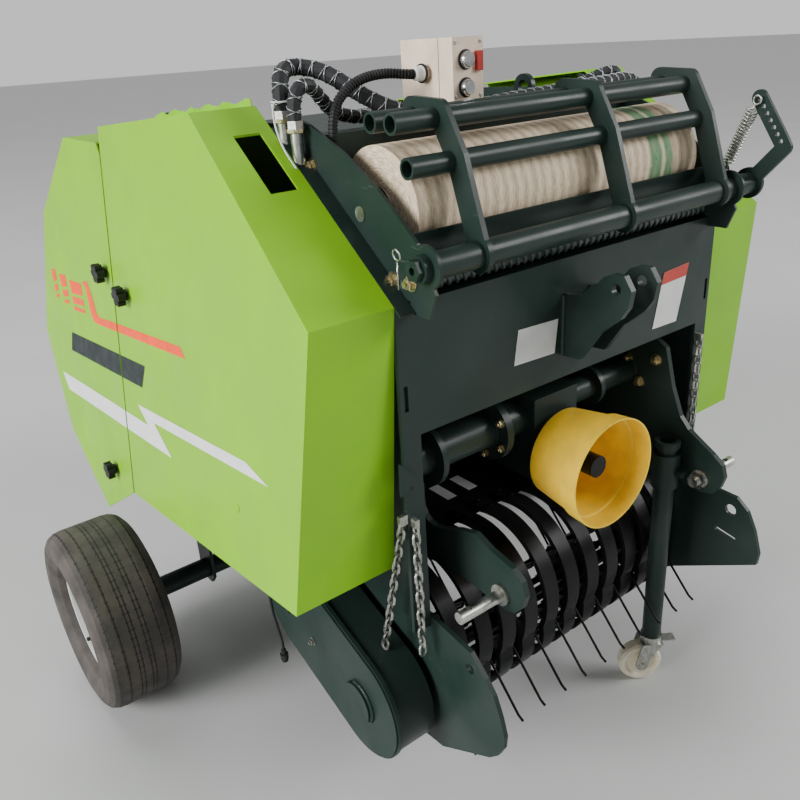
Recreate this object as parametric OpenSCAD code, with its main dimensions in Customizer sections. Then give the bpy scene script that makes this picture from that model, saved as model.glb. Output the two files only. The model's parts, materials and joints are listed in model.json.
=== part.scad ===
// Round baler on two wheels, parked on its jack.
// X runs across the machine, Y to the rear and Z up; the floor is z = 0.
// Places along Y are measured from the front panel, which stands at panel_y.

/* [Frame] */
// Place of the front panel's face along Y
panel_y = -595; // [-620:1:-570]
// Thickness of the side plates
side_t = 8; // [5:1:12]
// Height of the panel's top edge
panel_top = 1080; // [1040:1:1120]
// Height of the panel's bottom edge
panel_bottom = 857; // [820:1:900]
// Thickness of the front panel
panel_t = 6; // [4:1:8]
// Width of the front posts
post_w = 37; // [30:1:50]

/* [Chamber] */
// Distance of the chamber's centre behind the panel
chamber_y = 840; // [800:1:880]
// Height of the chamber's centre
chamber_z = 820; // [790:1:850]
// Radius of the circle of roller axes
roller_circle = 392; // [370:1:400]
// Radius of a roller's drum
roller_r = 48; // [40:1:52]
// Height of the ribs on the rollers
rib_h = 8; // [4:1:9]
// Where frame and tailgate part, behind the panel
split_y = 800; // [790:1:810]
// Tailgate pivot behind the panel
pivot_y = 790; // [780:1:795]
// Height of the tailgate pivot
pivot_z = 1300; // [1290:1:1310]

/* [Covers] */
// Sheet thickness of the covers
cover_t = 3; // [2:0.5:5]
// How far the covers stand out from the side plates at their knee
cover_depth = 171; // [150:1:180]

/* [Hitch] */
// Lower pins, from the middle
hitch_x = 289; // [270:1:310]
// Height of the lower pins
hitch_z = 559; // [520:1:600]
// Radius of the lower pins
hitch_r = 11; // [11:0.5:14]
// Thickness of the lower arms
arm_t = 12; // [8:1:16]
// Middle of each top-link ear, from the middle
ear_x = 34; // [28:1:40]
// Radius of the top-link hole
ear_r = 9.75; // [9.5:0.25:13]

/* [Drive] */
// Height of the drive shaft
pto_z = 678; // [660:1:700]
// Radius of the shaft's end
pto_r = 17.5; // [15:0.5:20]
// Radius of the guard's rim
guard_r = 110; // [100:1:120]

/* [Pickup] */
// Reel axis behind the panel
reel_y = 100; // [95:1:105]
// Height of the reel axis
reel_z = 283; // [278:1:288]
// Radius that the tine tips reach
tine_r = 186; // [150:1:188]
// Distance between tines
tine_pitch = 62.8; // [60:0.2:64]
// Radius of a tine's wire
wire_r = 2.75; // [2:0.25:3.5]
// Width of a band
band_w = 36; // [30:1:40]

/* [Net] */
// Net roll axis behind the panel
net_y = 112; // [111:1:116]
// Height of the net roll's axis
net_z = 1200; // [1194:1:1203]
// Radius of the net roll
net_r = 98; // [70:1:98]
// Half the width of the net roll
net_half = 345; // [300:1:350]
// Room between the net roll and each cradle plate
net_room = 31; // [24:1:40]
// Gate bar behind the panel
gate_y = -40; // [-45:1:-36]
// Height of the gate bar
gate_z = 1141; // [1136:1:1146]
// Radius of the gate bar
gate_r = 21; // [16:1:24]

/* [Wheels] */
// Axle behind the panel
axle_y = 797; // [770:1:805]
// Radius of the tyres
tyre_r = 222; // [205:1:240]
// Width of the tyres
tyre_w = 184; // [160:1:200]
// Middle of each wheel, outward from the side plate
wheel_out = 345; // [335:1:380]

/* [Jack] */
// Jack axis from the middle
jack_x = 251; // [249:1:253]
// Jack axis behind the panel
jack_y = -40; // [-44:1:-40]
// Radius of the jack's leg
leg_r = 21.5; // [18:0.5:22]
// Radius of the caster wheel
caster_r = 50; // [40:1:52]

/* [Hidden] */

$fn = 64;
dark = "#2f3f3f";
green = "#a9cc5b";
zinc = "#b9bab6";
black = "#1b1d1e";
run_gap = 0.06;
seat_gap = 0.3;
left = -1;
right = 1;
sides = [left, right];
far = 2000;

cradle_t = 6;
side_in = net_half + net_room + cradle_t;
side_out = side_in + side_t;
cover_x = side_out + cover_depth;
wheel_x = side_out + wheel_out;
post_in = side_in - 8;
post_out = post_in + post_w;
post_t = 8;
post_foot = 470;
cradle_in = side_in - cradle_t;
slant_end = [318, 1326];
flange_rise = 0.5;
slant_a = atan2(slant_end[1] - panel_top, slant_end[0]);
slant_l = norm([slant_end[0], slant_end[1] - panel_top]);
plate_rear = split_y - 4;
gate_front = split_y + 4;
pin_r = 15;
lug_r = 30;
eye_pin_r = 12;
spindle_r = 12;
feed_y = net_y - 94;
feed_z = net_z - 95;
feed_r = 16;
stub_r = 8;
drive_y = 100;
drive_z = 752;
case_x = side_out + 90;
axle_z = tyre_r;
axle_r = 25;
spindle_end_r = 20;
hub_half = 60;
cover_in = post_out + seat_gap;
box_low = [-170, 130, 1343];
box_high = [-104, 264, 1440];
foot_low = [470, 760];
foot_high = [1130, 1060];
cyl_x = side_out + 50;

// Places are measured from the front panel.
module from_panel() translate([0, panel_y, 0]) children();

// A flat outline in Y and Z, thick along X from x0.
module plate_yz(x0, t) translate([x0, 0, 0]) rotate([90, 0, 90]) linear_extrude(t) children();

// The same on one side of the machine; from is the face nearer the middle.
module side_yz(s, from, t) plate_yz(s > 0 ? from : -from - t, t) children();

// A round bar along X between x0 and x1 at (y, z).
module bar_x(y, z, r, x0, x1)
    translate([x0, y, z]) rotate([0, 90, 0]) cylinder(r = r, h = x1 - x0);

// The same on one side, between a and b from the middle.
module side_bar(s, y, z, r, a, b) bar_x(y, z, r, s > 0 ? a : -b, s > 0 ? b : -a);

// A tube along X.
module tube_x(y, z, r, wall, x0, x1) difference() {
    bar_x(y, z, r, x0, x1);
    bar_x(y, z, r - wall, x0 - 1, x1 + 1);
}

// A box given by its low and high corners.
module block(a, b) translate(a) cube(b - a);

// A box on one side: x runs outward from the middle.
module side_block(s, a, b)
    if (s > 0) block(a, b);
    else block([-b[0], a[1], a[2]], [-a[0], b[1], b[2]]);

// A profile of radius and X turned about the X axis at (y, z).
module turned_x(y, z) translate([0, y, z]) rotate([0, 90, 0]) rotate_extrude() children();

// A flat bar with round ends from a to b. Its sides lie a hair inside the round ends, so that they cross cleanly.
module link2d(a, b, w) {
    d = b - a;
    inside = 0.02;
    translate(a) rotate(atan2(d[1], d[0])) translate([0, inside - w / 2]) square([norm(d), w - 2 * inside]);
    translate(a) circle(w / 2);
    translate(b) circle(w / 2);
}

// Side plates with their front posts

side_outline = [[0, post_foot], [0, panel_top], slant_end, [700, 1318], [plate_rear, pivot_z],
    [plate_rear, 372], [640, 372], [560, 400], [300, 440], [180, post_foot]];

module side_plate(s) from_panel() color(dark) difference() {
    union() {
        side_yz(s, side_in, side_t) {
            polygon(side_outline);
            translate([pivot_y, pivot_z]) circle(lug_r);
        }
        side_block(s, [post_in, 0, post_foot], [post_out, post_t, panel_top]);
        side_yz(s, side_in, post_out - side_in)
            translate([0, panel_top]) rotate(slant_a) translate([-18, flange_rise - 5]) square([slant_l + 10, 5]);
        side_bar(s, pivot_y, pivot_z, pin_r, side_in, side_out + 22);
        side_bar(s, foot_low[0], foot_low[1], eye_pin_r, side_in, cyl_x + 22);
        side_bar(s, foot_low[0], foot_low[1], 24, side_in, cyl_x - barrel_r - 5);
        children();
    }
    for (z = [560, 905])
        side_block(s, [post_out - 16, -1, z], [post_out - 8, post_t + 1, z + 44]);
}
module side_plate_left() side_plate(left) side_block(left, [side_out - 1, 275, 590], [555, 295, 596]);
module side_plate_right() side_plate(right);

// Front panel with folded edges

module front_panel() from_panel() color(dark) {
    block([-post_in, 0, panel_bottom], [post_in, panel_t, panel_top]);
    block([-post_in, 0, panel_bottom], [post_in, 46, panel_bottom + panel_t]);
    block([-post_in, 0, panel_top - panel_t], [post_in, 40, panel_top]);
}

// Top-link ears

ear_t = 12;
ear_hole = [-112, 1046];
ear_outline = [[0, 900], [-40, 903], [-80, 960], [-123, 996], [-138, 1018], [-143, 1048],
    [-127, 1071], [-104, 1071], [-86, 1063], [-74, 1050], [-60, 1043], [-38, 1022], [-12, 1017], [0, 1018]];

module toplink_ears() from_panel() color(dark)
    for (s = sides) side_yz(s, ear_x - ear_t / 2, ear_t) difference() {
        polygon(ear_outline);
        translate(ear_hole) circle(ear_r);
    }

// Lower hitch arms: the left one reaches back under the drive tube, the right one up to it

arm_in = hitch_x - arm_t / 2;
arm_out = hitch_x + arm_t / 2;
pin_y = -104;
arm_floor = 524;
nose = [[-128, 622], [-150, 606], [-158, 580], [-150, 553], [-134, 534], [-107, 528]];
arm_left_outline = concat([[drive_y + 60, drive_z], [drive_y + 60, arm_floor], [120, arm_floor], [12, 538]],
    [for (i = [5:-1:0]) nose[i]], [[-74, 633], [-36, 648], [6, 636], [56, 615], [78, 610], [94, 612], [106, 620],
    [114, 633], [116, 652], [drive_y + 16, drive_z]]);
arm_right_outline = concat([[drive_y + 60, drive_z], [drive_y + 40, 640], [60, 570], [12, 538]],
    [for (i = [5:-1:0]) nose[i]], [[-65, 659], [-43, 683], [-18, 743], [4, 825], [40, 845], [drive_y, drive_z + 60]]);

module hitch_arm(s, outline) side_yz(s, arm_in, arm_t) difference() {
    union() {
        polygon(outline);
        translate([drive_y, drive_z]) circle(60);
    }
    translate([pin_y, hitch_z]) circle(hitch_r);
}

module hitch_arms() from_panel() color(dark) {
    hitch_arm(left, arm_left_outline);
    hitch_arm(right, arm_right_outline);
}

// Hitch pins: nut and washer inside the arm, collar and drilled pin outside

pin_l = 100;

module hitch_pin(s) {
    side_bar(s, pin_y, hitch_z, 20, arm_in - 4, arm_in);
    side_yz(s, arm_in - 20, 16) translate([pin_y, hitch_z]) circle(18, $fn = 6);
    side_bar(s, pin_y, hitch_z, 11, arm_in - 28, arm_in - 20);
    side_bar(s, pin_y, hitch_z, 20, arm_out, arm_out + 8);
    difference() {
        side_bar(s, pin_y, hitch_z, hitch_r, arm_in - 4, arm_out + pin_l);
        translate([s * (arm_out + pin_l - 22), pin_y, hitch_z - 20]) cylinder(r = 5.5, h = 40);
    }
}

module hitch_pins() from_panel() color(zinc) for (s = sides) hitch_pin(s);

// Drive tube across the machine, in lengths between gearbox, arms and side plates

box_half = 60;
tube_r_left = 36;
tube_r_right = 26;

module cross_tube() from_panel() color(dark) {
    bar_x(drive_y, drive_z, tube_r_left, -arm_in, -box_half);
    bar_x(drive_y, drive_z, tube_r_left, -side_in, -arm_out);
    bar_x(drive_y, drive_z, 64, -142, -126);
    bar_x(drive_y, drive_z, tube_r_right, box_half, arm_in);
    bar_x(drive_y, drive_z, tube_r_right, arm_out, side_in);
    bar_x(drive_y, drive_z, 42, 150, 162);
}

// Gearbox with its bearing nose

box_front = 30;
bore_depth = 24;

module gearbox() from_panel() color(dark) difference() {
    union() {
        block([-box_half, 48, 625], [box_half, 150, 800]);
        translate([0, 49, pto_z]) rotate([90, 0, 0]) cylinder(r = 56, h = 11);
        translate([0, 48, pto_z]) rotate([90, 0, 0]) cylinder(r = 45, h = 48 - box_front);
    }
    translate([0, box_front + bore_depth, pto_z]) rotate([90, 0, 0])
        cylinder(r = pto_r + run_gap, h = bore_depth + 1);
}

// Guard cone, open to the front

guard_tip = -99;
guard_wall = 3;

module pto_guard() from_panel() color("#efc04a")
    translate([0, box_front, pto_z]) rotate([90, 0, 0]) rotate_extrude()
        polygon([[30, 0], [90, 0], [103, 90], [107, 92], [guard_r, box_front - guard_tip],
            [guard_r - guard_wall, box_front - guard_tip], [104, 93], [100, 91], [87, guard_wall], [30, guard_wall]]);

module pto_shaft() from_panel() color(black)
    translate([0, box_front + bore_depth - 2, pto_z]) rotate([90, 0, 0]) {
        cylinder(r = pto_r, h = 76);
        translate([0, 0, 50]) cylinder(r = 22, h = 64);
    }

// Chamber rollers: ribbed drums on stub shafts

rib_w = 8;
roller_wall = 5;
stub_shaft_r = 20;

module roller(a) {
    y = chamber_y + roller_circle * cos(a);
    z = chamber_z + roller_circle * sin(a);
    difference() {
        union() {
            plate_yz(-side_in + 8, 2 * side_in - 16) translate([y, z]) rotate(a) {
                circle(roller_r);
                for (i = [0:7]) rotate(i * 45) translate([0, -rib_w / 2]) square([roller_r + rib_h, rib_w]);
            }
            bar_x(y, z, stub_shaft_r, -side_in, side_in);
        }
        bar_x(y, z, roller_r - roller_wall, -side_in + 18, side_in - 18);
    }
}

module chamber_rollers() from_panel() color("#3b4b4c")
    for (a = [101.25, 123.75, 146.25, 168.75, 191.25, 236.25, 258.75]) roller(a);

sheet_z = 1296;
sheet_t = 4;
sheet_front = 290;
sheet_step = 350;
sheet_rear = 745;

module top_sheet() from_panel() color(dark) {
    block([-cradle_in, sheet_front, sheet_z - sheet_t], [cradle_in, sheet_step, sheet_z]);
    block([-side_in, sheet_step, sheet_z - sheet_t], [side_in, sheet_rear, sheet_z]);
}

// Axle with its brackets under the chamber

bracket_t = 8;
bracket_top = 435;
bracket_knee = 340;
bracket_foot = axle_z - 36;
bracket_half = 38;
bracket_far = side_out + 86;
bracket_outline = [[axle_y - 70, bracket_top], [plate_rear, bracket_top], [plate_rear, bracket_knee + 28],
    [axle_y + bracket_half, bracket_knee - 14], [axle_y + bracket_half, bracket_foot + 22],
    [axle_y + 20, bracket_foot], [axle_y - 20, bracket_foot], [axle_y - bracket_half, bracket_foot + 22],
    [axle_y - bracket_half, bracket_knee - 14], [axle_y - 70, bracket_knee + 28]];

module axle() from_panel() color(dark) {
    for (s = sides) {
        for (x = [side_out, bracket_far]) side_yz(s, x, bracket_t) polygon(bracket_outline);
        side_block(s, [side_out, axle_y - 60, bracket_top - 55], [bracket_far, plate_rear - 6, bracket_top - 3]);
        side_bar(s, axle_y, axle_z, spindle_end_r, wheel_x - hub_half - 1, wheel_x + 42);
    }
    bar_x(axle_y, axle_z, axle_r, -wheel_x + hub_half + seat_gap, wheel_x - hub_half - seat_gap);
}

// Net cradle: two plates that hold gate bar, feed roller and net roll

cradle_outline = [[-62, 1104], [-46, 1064], [-2, 1064], [-2, 1084], [60, 1084], [330, 1290],
    [345, 1350], [240, 1326], [150, 1290], [65, 1243], [-24, 1174]];

module net_cradle() from_panel() color("#3f5552") {
    side_bar(right, spring_foot[1], spring_foot[2], spring_pin_r, side_in, brake_x - 1);
    block([-cradle_in, 190, 1225], [-conduit_end + 11, 214, 1255]);
    for (s = sides) side_yz(s, cradle_in, cradle_t) difference() {
        union() {
            polygon(cradle_outline);
            translate([gate_y, gate_z]) circle(gate_r + 13);
        }
        translate([gate_y, gate_z]) circle(gate_r + run_gap);
        translate([feed_y, feed_z]) circle(stub_r + run_gap);
        translate([net_y, net_z]) circle(spindle_r + run_gap);
    }
}

tray_r = 108;

module net_tray() from_panel() color(dark)
    plate_yz(-cradle_in, 2 * cradle_in) arc2d([net_y, net_z], tray_r + 3, 3, 190, 340);

// Top beam with lifting eye and the foot of the control box

beam_low = [-cradle_in, 215, 1270];
beam_high = [cradle_in, 255, 1310];
eye_x = 100;

module top_beam() from_panel() color(dark) {
    block(beam_low, beam_high);
    block([-152, 225, 1310], [-122, 245, box_low[2]]);
    plate_yz(eye_x - 5, 10) difference() {
        union() {
            translate([235, 1345]) circle(24);
            translate([211, 1305]) square([48, 40]);
        }
        translate([235, 1345]) circle(13);
    }
}

// Net feed roller, net roll and its spindle

module feed_roller() from_panel() color("#3a3c3d") {
    bar_x(feed_y, feed_z, feed_r, -cradle_in + 2, cradle_in - 2);
    bar_x(feed_y, feed_z, stub_r, -side_in + 1, side_in - 1);
}

core_r = 30;

module net_roll() from_panel() color("#c9bfb0")
    tube_x(net_y, net_z, net_r, net_r - core_r, -net_half, net_half);

module net_spindle() from_panel() color(zinc) {
    bar_x(net_y, net_z, spindle_r, -side_in - 2, side_in + 2);
    for (s = sides) side_bar(s, net_y, net_z, core_r - seat_gap, net_half - 30, net_half);
    for (s = sides) side_bar(s, net_y, net_z, core_r + 10, net_half + seat_gap, net_half + 6);
}

// Net gate: pivot bar, three arms and three tubes, with the brake arm on its right end

tube_end = net_half + 17;
tube_far = net_half + 7;
gate_tubes = [[16, 1272], [50, 1332], [100, 1332]];
tube_r = 16;
arm_path = [[-44, 1141], [2, 1276], [40, 1340], [104, 1343]];
arm_w = 40;
arm_places = [64 - net_half, 60, net_half - 10];
brake_x = side_out + 56;
brake_path = [[gate_y, gate_z], [-104, 1212], [-98, 1222], [-44, 1300]];

module net_gate() from_panel() color(dark) difference() {
    union() {
        bar_x(gate_y, gate_z, gate_r, -side_in - 14, brake_x + 10);
        plate_yz(-side_in - 24, 12) translate([gate_y, gate_z]) circle(gate_r - 4, $fn = 6);
        for (p = gate_tubes) tube_x(p[0], p[1], tube_r, 4, -tube_end, tube_far);
        plate_yz(brake_x, 8) {
            translate([gate_y, gate_z]) circle(30);
            for (i = [0:2]) link2d(brake_path[i], brake_path[i + 1], 30);
        }
    }
    for (i = [0:6]) plate_yz(brake_x - 1, 10) translate([-46, 1297] + i * [-8.5, -12.3]) circle(4.5);
    bar_x(gate_y, gate_z, 6, -side_in - 25, -side_in + 30);
}

module gate_arms() from_panel() color(dark)
    for (x = arm_places) plate_yz(x, 10) difference() {
        union() {
            for (i = [0:2]) link2d(arm_path[i], arm_path[i + 1], arm_w);
            translate([gate_y, gate_z]) circle(gate_r + 8);
        }
        translate([gate_y, gate_z]) circle(gate_r + run_gap);
        for (p = gate_tubes) translate(p) circle(tube_r + run_gap);
    }

// Tension spring of the brake arm

spring_foot = [brake_x - 9, 6, 1168];
spring_top = [brake_x - 9, -46, 1297];
spring_pin_r = 4.5;

module brake_spring() from_panel() color(zinc) {
    d = spring_top - spring_foot;
    translate(spring_foot) rotate([atan2(-d[1], d[2]), 0, 0])
        translate([0, 0, spring_pin_r + seat_gap]) cylinder(r = 8, h = norm(d) - 2 * (spring_pin_r + seat_gap));
}

// Control box with its lid, on the bracket of the top beam

lid_y = box_low[1] + 36;

module control_box() from_panel() color("#e4cdb9") {
    block(box_low, [box_high[0], lid_y - 2, box_high[2]]);
    block([box_low[0] + 3, lid_y - 2, box_low[2] + 3], [box_high[0] - 3, lid_y, box_high[2] - 3]);
    block([box_low[0], lid_y, box_low[2]], box_high);
    for (z = [1364, 1406]) translate([-138, box_low[1] + 1, z]) rotate([90, 0, 0]) cylinder(r = 9, h = 9);
    translate([box_low[0] + 1, 198, 1388]) rotate([0, -90, 0]) cylinder(r = 10, h = 13);
}

// Hoses, conduit and lead: one tube swept along rounded points

function smooth(p, n) = n == 0 ? p : smooth(concat([p[0]],
    [for (i = [0:len(p) - 2]) each [0.75 * p[i] + 0.25 * p[i + 1], 0.25 * p[i] + 0.75 * p[i + 1]]],
    [p[len(p) - 1]]), n - 1);
function unit(v) = v / norm(v);
function heading(p, i) = unit(p[min(i + 1, len(p) - 1)] - p[max(i - 1, 0)]);
function across(t, a) = unit(a - (a * t) * t);
function frames(p, i, a) = i == len(p) ? [] :
    let (t = heading(p, i), n = across(t, a)) concat([[p[i], n, cross(t, n)]], frames(p, i + 1, n));
function ring_points(f, r, m) = [for (q = f) each [for (k = [0:m - 1])
    q[0] + r * (cos(360 * k / m) * q[1] + sin(360 * k / m) * q[2])]];
function side_faces(rings, m) = [for (i = [0:rings - 2], k = [0:m - 1])
    [i * m + k, i * m + (k + 1) % m, (i + 1) * m + (k + 1) % m, (i + 1) * m + k]];

module swept(p, r, m, n, a) {
    q = smooth(p, n);
    f = frames(q, 0, a);
    k = len(q);
    polyhedron(ring_points(f, r, m), concat([[for (j = [0:m - 1]) j]],
        [for (g = side_faces(k, m)) [g[3], g[2], g[1], g[0]]], [[for (j = [m - 1:-1:0]) (k - 1) * m + j]]));
}

conduit_r = 7;
conduit_end = cradle_in - 14;
conduit_path = [[-182.3, 198, 1388], [-205, 198, 1388], [-250, 211, 1394], [-300, 214, 1387], [-342, 210, 1362],
    [-conduit_end + 3, 205, 1330], [-conduit_end, 202, 1290], [-conduit_end, 202, 1255.3]];
module box_conduit() from_panel() color(black) swept(conduit_path, conduit_r, 8, 2, [0, 0, 1]);

hose_r = 13;
port_left = -side_out - 10;
port_right = side_out + 8;
port_places = [[port_left, 288, 1348], [port_right, 206, 1283], [port_left, 250, 1334], [port_right, 256, 1322]];
hose_path = [[port_left, 288, 1348.3], [port_left, 288, 1375], [-384, 306, 1408], [-352, 312, 1412], [-318, 280, 1402],
    [-285, 225, 1362], [-245, 190, 1336], [-190, 183, 1326], [-120, 182, 1323], [0, 184, 1330],
    [140, 185, 1335], [290, 190, 1340], [356, 198, 1342], [port_right, 206, 1330], [port_right, 206, 1283.3]];
hose_back_path = [[port_left, 250, 1334.3], [port_left, 250, 1356], [port_left + 8, 248, 1382], [port_left + 34, 252, 1386],
    [port_left + 62, 268, 1362], [-304, 286, 1336], [-250, 292, 1322], [-120, 292, 1318], [0, 294, 1316],
    [160, 292, 1320], [300, 286, 1330], [port_right - 34, 268, 1352], [port_right, 256, 1356], [port_right, 256, 1322.3]];
module hoses() from_panel() color("#4a4f52") swept(hose_path, hose_r, 10, 2, [0, 1, 0]);
module hoses_back() from_panel() color("#1b1d1e") swept(hose_back_path, 11, 10, 2, [0, 1, 0]);

port_lift = flange_rise / cos(slant_a) + 0.05;

module hose_ports() from_panel() color(zinc)
    for (p = port_places) {
        foot = panel_top + p[1] * (slant_end[1] - panel_top) / slant_end[0];
        difference() {
            translate([p[0], p[1], foot - 12]) cylinder(r = 10, h = p[2] - foot + 12);
            plate_yz(-side_out - 60, 2 * side_out + 120)
                translate([0, port_lift]) polygon([[0, 900], slant_end + [0, -400], slant_end, [0, panel_top]]);
        }
        translate([p[0], p[1], p[2] - 14]) cylinder(r = 14, h = 14, $fn = 6);
    }

lead_r = 3;
lead_path = [[-545, 285, 589.7], [-545, 285, 568], [-547, 284, 535], [-553, 278, 495], [-559, 264, 450],
    [-561, 246, 415], [-560, 236, 386], [-560, 236, 366.3]];
module sensor_lead() from_panel() color(black) swept(lead_path, lead_r, 8, 2, [0, 1, 0]);

module sensor_plug() from_panel() color(black) translate([-560, 236, 338]) {
    translate([0, 0, 18]) cylinder(r = 5, h = 10);
    translate([0, 0, 6]) cylinder(r = 8, h = 12);
    cylinder(r = 6.5, h = 6);
}

// Covers: a sheet shell that leans outward towards the floor

lean = atan(0.1045);
cover_front = [[51, 587], [0, 1080], [355, 1355], [split_y - 3, 1317], [split_y - 3, 502]];
cover_back = [[split_y + 3, 498], [split_y + 3, 1262], [820, 1285], [1042, 1284], [1280, 1093], [1401, 758], [1265, 507], [1010, 372]];

// Each edge of an outline moved inward by its own distance, clockwise outlines.
function edge_line(a, b, d) = let (t = unit(b - a), n = [t[1], -t[0]]) [n, n * (a + d * n)];
function meet(g, h) = let (k = g[0][0] * h[0][1] - g[0][1] * h[0][0])
    [(g[1] * h[0][1] - h[1] * g[0][1]) / k, (g[0][0] * h[1] - h[0][0] * g[1]) / k];
function inset(p, d) = let (n = len(p), e = [for (i = [0:n - 1]) edge_line(p[i], p[(i + 1) % n], d[i])])
    [for (i = [0:n - 1]) meet(e[(i + n - 1) % n], e[i])];

module leaning(s, pts, from, t) intersection() {
    side_yz(s, from, 260) polygon(pts);
    translate([s * (cover_x - t), 0, panel_top]) rotate([0, -s * lean, 0])
        translate([s > 0 ? -320 : 0, -far, -far]) cube([320, 2 * far, 2 * far]);
}

module cover_shell(s, pts, d) difference() {
    leaning(s, pts, cover_in, 0);
    leaning(s, inset(pts, d), cover_in - 5, cover_t);
}

front_edges = [cover_t, cover_t, cover_t, -9, -9];
back_edges = [-9, -9, cover_t, cover_t, cover_t, cover_t, -9, -9];
knob_places_front = [[717, 992], [250, 700]];
knob_places_back = [[838, 1018], [912, 522]];
stud_r = 6;
hanger_in = cyl_x + 36;
hanger_t = 6;
hanger_front = [700, 1095];
hanger_back = [870, 860];

module stud_holes(s, places) for (p = places) side_bar(s, p[0], p[1], stud_r + seat_gap, side_out + 20, cover_x + 120);

module cover_left() from_panel() color(green) difference() {
    cover_shell(left, cover_front, front_edges);
    block([-side_out - 94, 202, 1150], [-side_out - 45, 306, 1350]);
    stud_holes(left, knob_places_front);
}
module cover_right() from_panel() color(green) difference() {
    cover_shell(right, cover_front, front_edges);
    stud_holes(right, knob_places_front);
}
module cover_rear(s) from_panel() color(green) difference() {
    cover_shell(s, cover_back, back_edges);
    stud_holes(s, knob_places_back);
}
module cover_rear_left() cover_rear(left);
module cover_rear_right() cover_rear(right);

// Star knobs on studs that carry the covers

function lean_x(z) = cover_x - 0.1045 * (z - panel_top);
module knob_stud(s, p, from) {
    x = lean_x(p[1]);
    side_bar(s, p[0], p[1], stud_r, from, x + 8);
    side_bar(s, p[0], p[1], stud_r + 5, from, x - cover_t - 3);
    side_bar(s, p[0], p[1], 12, x + 3, x + 14);
    side_yz(s, x + 10, 16) translate(p) {
        circle(16);
        for (i = [0:5]) rotate(60 * i) translate([15, 0]) circle(7);
    }
}

// A plate outside the cylinder that carries a stud, on a bar that passes clear of it.
module hanger(s, foot, p, from) {
    side_bar(s, foot[0], foot[1], 8, from, hanger_in + hanger_t);
    side_yz(s, hanger_in, hanger_t) link2d(foot, p, 30);
}

module knobs_front() from_panel() color(black) for (s = sides) {
    hanger(s, hanger_front, knob_places_front[0], side_out);
    knob_stud(s, knob_places_front[0], hanger_in);
    knob_stud(s, knob_places_front[1], side_out);
}
module knobs_rear() from_panel() color(black) for (s = sides) {
    hanger(s, hanger_back, knob_places_back[0], gate_out);
    knob_stud(s, knob_places_back[0], hanger_in);
    knob_stud(s, knob_places_back[1], gate_out);
}

// Tailgate

gate_t = 10;
gate_out = side_in + gate_t;
gate_outline = [[gate_front, 440], [gate_front, 1262], [1030, 1272], [1268, 1085], [1378, 758],
    [1262, 500], [1005, 362], [880, 378]];
lug_end = [905, 1175];

module tailgate_plates() from_panel() color(dark) for (s = sides) difference() {
    union() {
        side_yz(s, side_in, gate_t) difference() {
            polygon(gate_outline);
            translate([pivot_y, pivot_z]) circle(lug_r + 15);
        }
        side_yz(s, gate_out, 12) link2d([pivot_y, pivot_z], lug_end, 56);
        side_bar(s, foot_high[0], foot_high[1], 16, gate_out, cyl_x - 20);
    }
    side_bar(s, pivot_y, pivot_z, pin_r + run_gap, gate_out - 1, gate_out + 13);
}

module tailgate_rollers() from_panel() color("#3b4b4c")
    for (a = [78.75, 56.25, 33.75, 11.25, -11.25, -33.75, -56.25, -78.75]) roller(a);

beam_high_at = [1325, 740];
beam_low_at = [1170, 482];
module tailgate_beams() from_panel() color(dark) {
    tube_x(beam_high_at[0], beam_high_at[1], 25, 5, -side_in, side_in);
    tube_x(beam_low_at[0], beam_low_at[1], 20, 4, -side_in, side_in);
}

// Hydraulic cylinders of the tailgate

stroke_dir = foot_high - foot_low;
closed_l = norm(stroke_dir);
stroke_a = atan2(stroke_dir[1], stroke_dir[0]);
barrel_r = 25;
barrel_l = 470;
rod_r = 12;

// Along the cylinder from its lower pin.
module at_cylinder(s) translate([s * cyl_x, foot_low[0], foot_low[1]]) rotate([stroke_a, 0, 0]) children();
module along(r, a, b) translate([0, a, 0]) rotate([-90, 0, 0]) cylinder(r = r, h = b - a);

module cylinder_barrel(s) from_panel() color(dark) at_cylinder(s) difference() {
    union() {
        translate([-12, 0, 0]) rotate([0, 90, 0]) cylinder(r = 22, h = 24);
        along(barrel_r, 18, barrel_l);
        along(barrel_r + 3, barrel_l - 22, barrel_l);
    }
    translate([-13, 0, 0]) rotate([0, 90, 0]) cylinder(r = eye_pin_r + run_gap, h = 26);
    along(20, 40, barrel_l - 24);
    along(rod_r + run_gap, barrel_l - 25, barrel_l + 1);
}
module rod(s) from_panel() color("#d4d6d6") at_cylinder(s) {
    along(19.5, 90, 110);
    along(rod_r, 110, closed_l);
    translate([-14, closed_l, 0]) rotate([0, 90, 0]) cylinder(r = 20, h = 28);
    translate([-15, closed_l, 0]) rotate([0, 90, 0]) cylinder(r = 11, h = 34);
}
module cylinder_left() cylinder_barrel(left);
module cylinder_right() cylinder_barrel(right);
module rod_left() rod(left);
module rod_right() rod(right);

// Pickup: end plates, rear floor, bands, drive case and tined reel

shield_in = side_in - 17;
shield_t = 9;
shield_out = shield_in + shield_t;
floor_z = 500;
shield_back = [[350, floor_z - 4], [350, 330], [150, 165]];
shield_right = concat([[0, 497], [-102, 497], [-146, 495], [-174, 473], [-195, 432], [-211, 381],
    [-208, 353], [-7, 243], [60, 196]], [for (i = [2:-1:0]) shield_back[i]]);
shield_left = concat([[0, 490], [-35, 485], [-106, 475], [-142, 441], [-162, 417], [-179, 376], [-188, 343],
    [-185, 316], [-172, 290], [-150, 267], [-100, 236], [-18, 185]], [for (i = [2:-1:0]) shield_back[i]]);
reel_shaft_r = 15;

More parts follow.
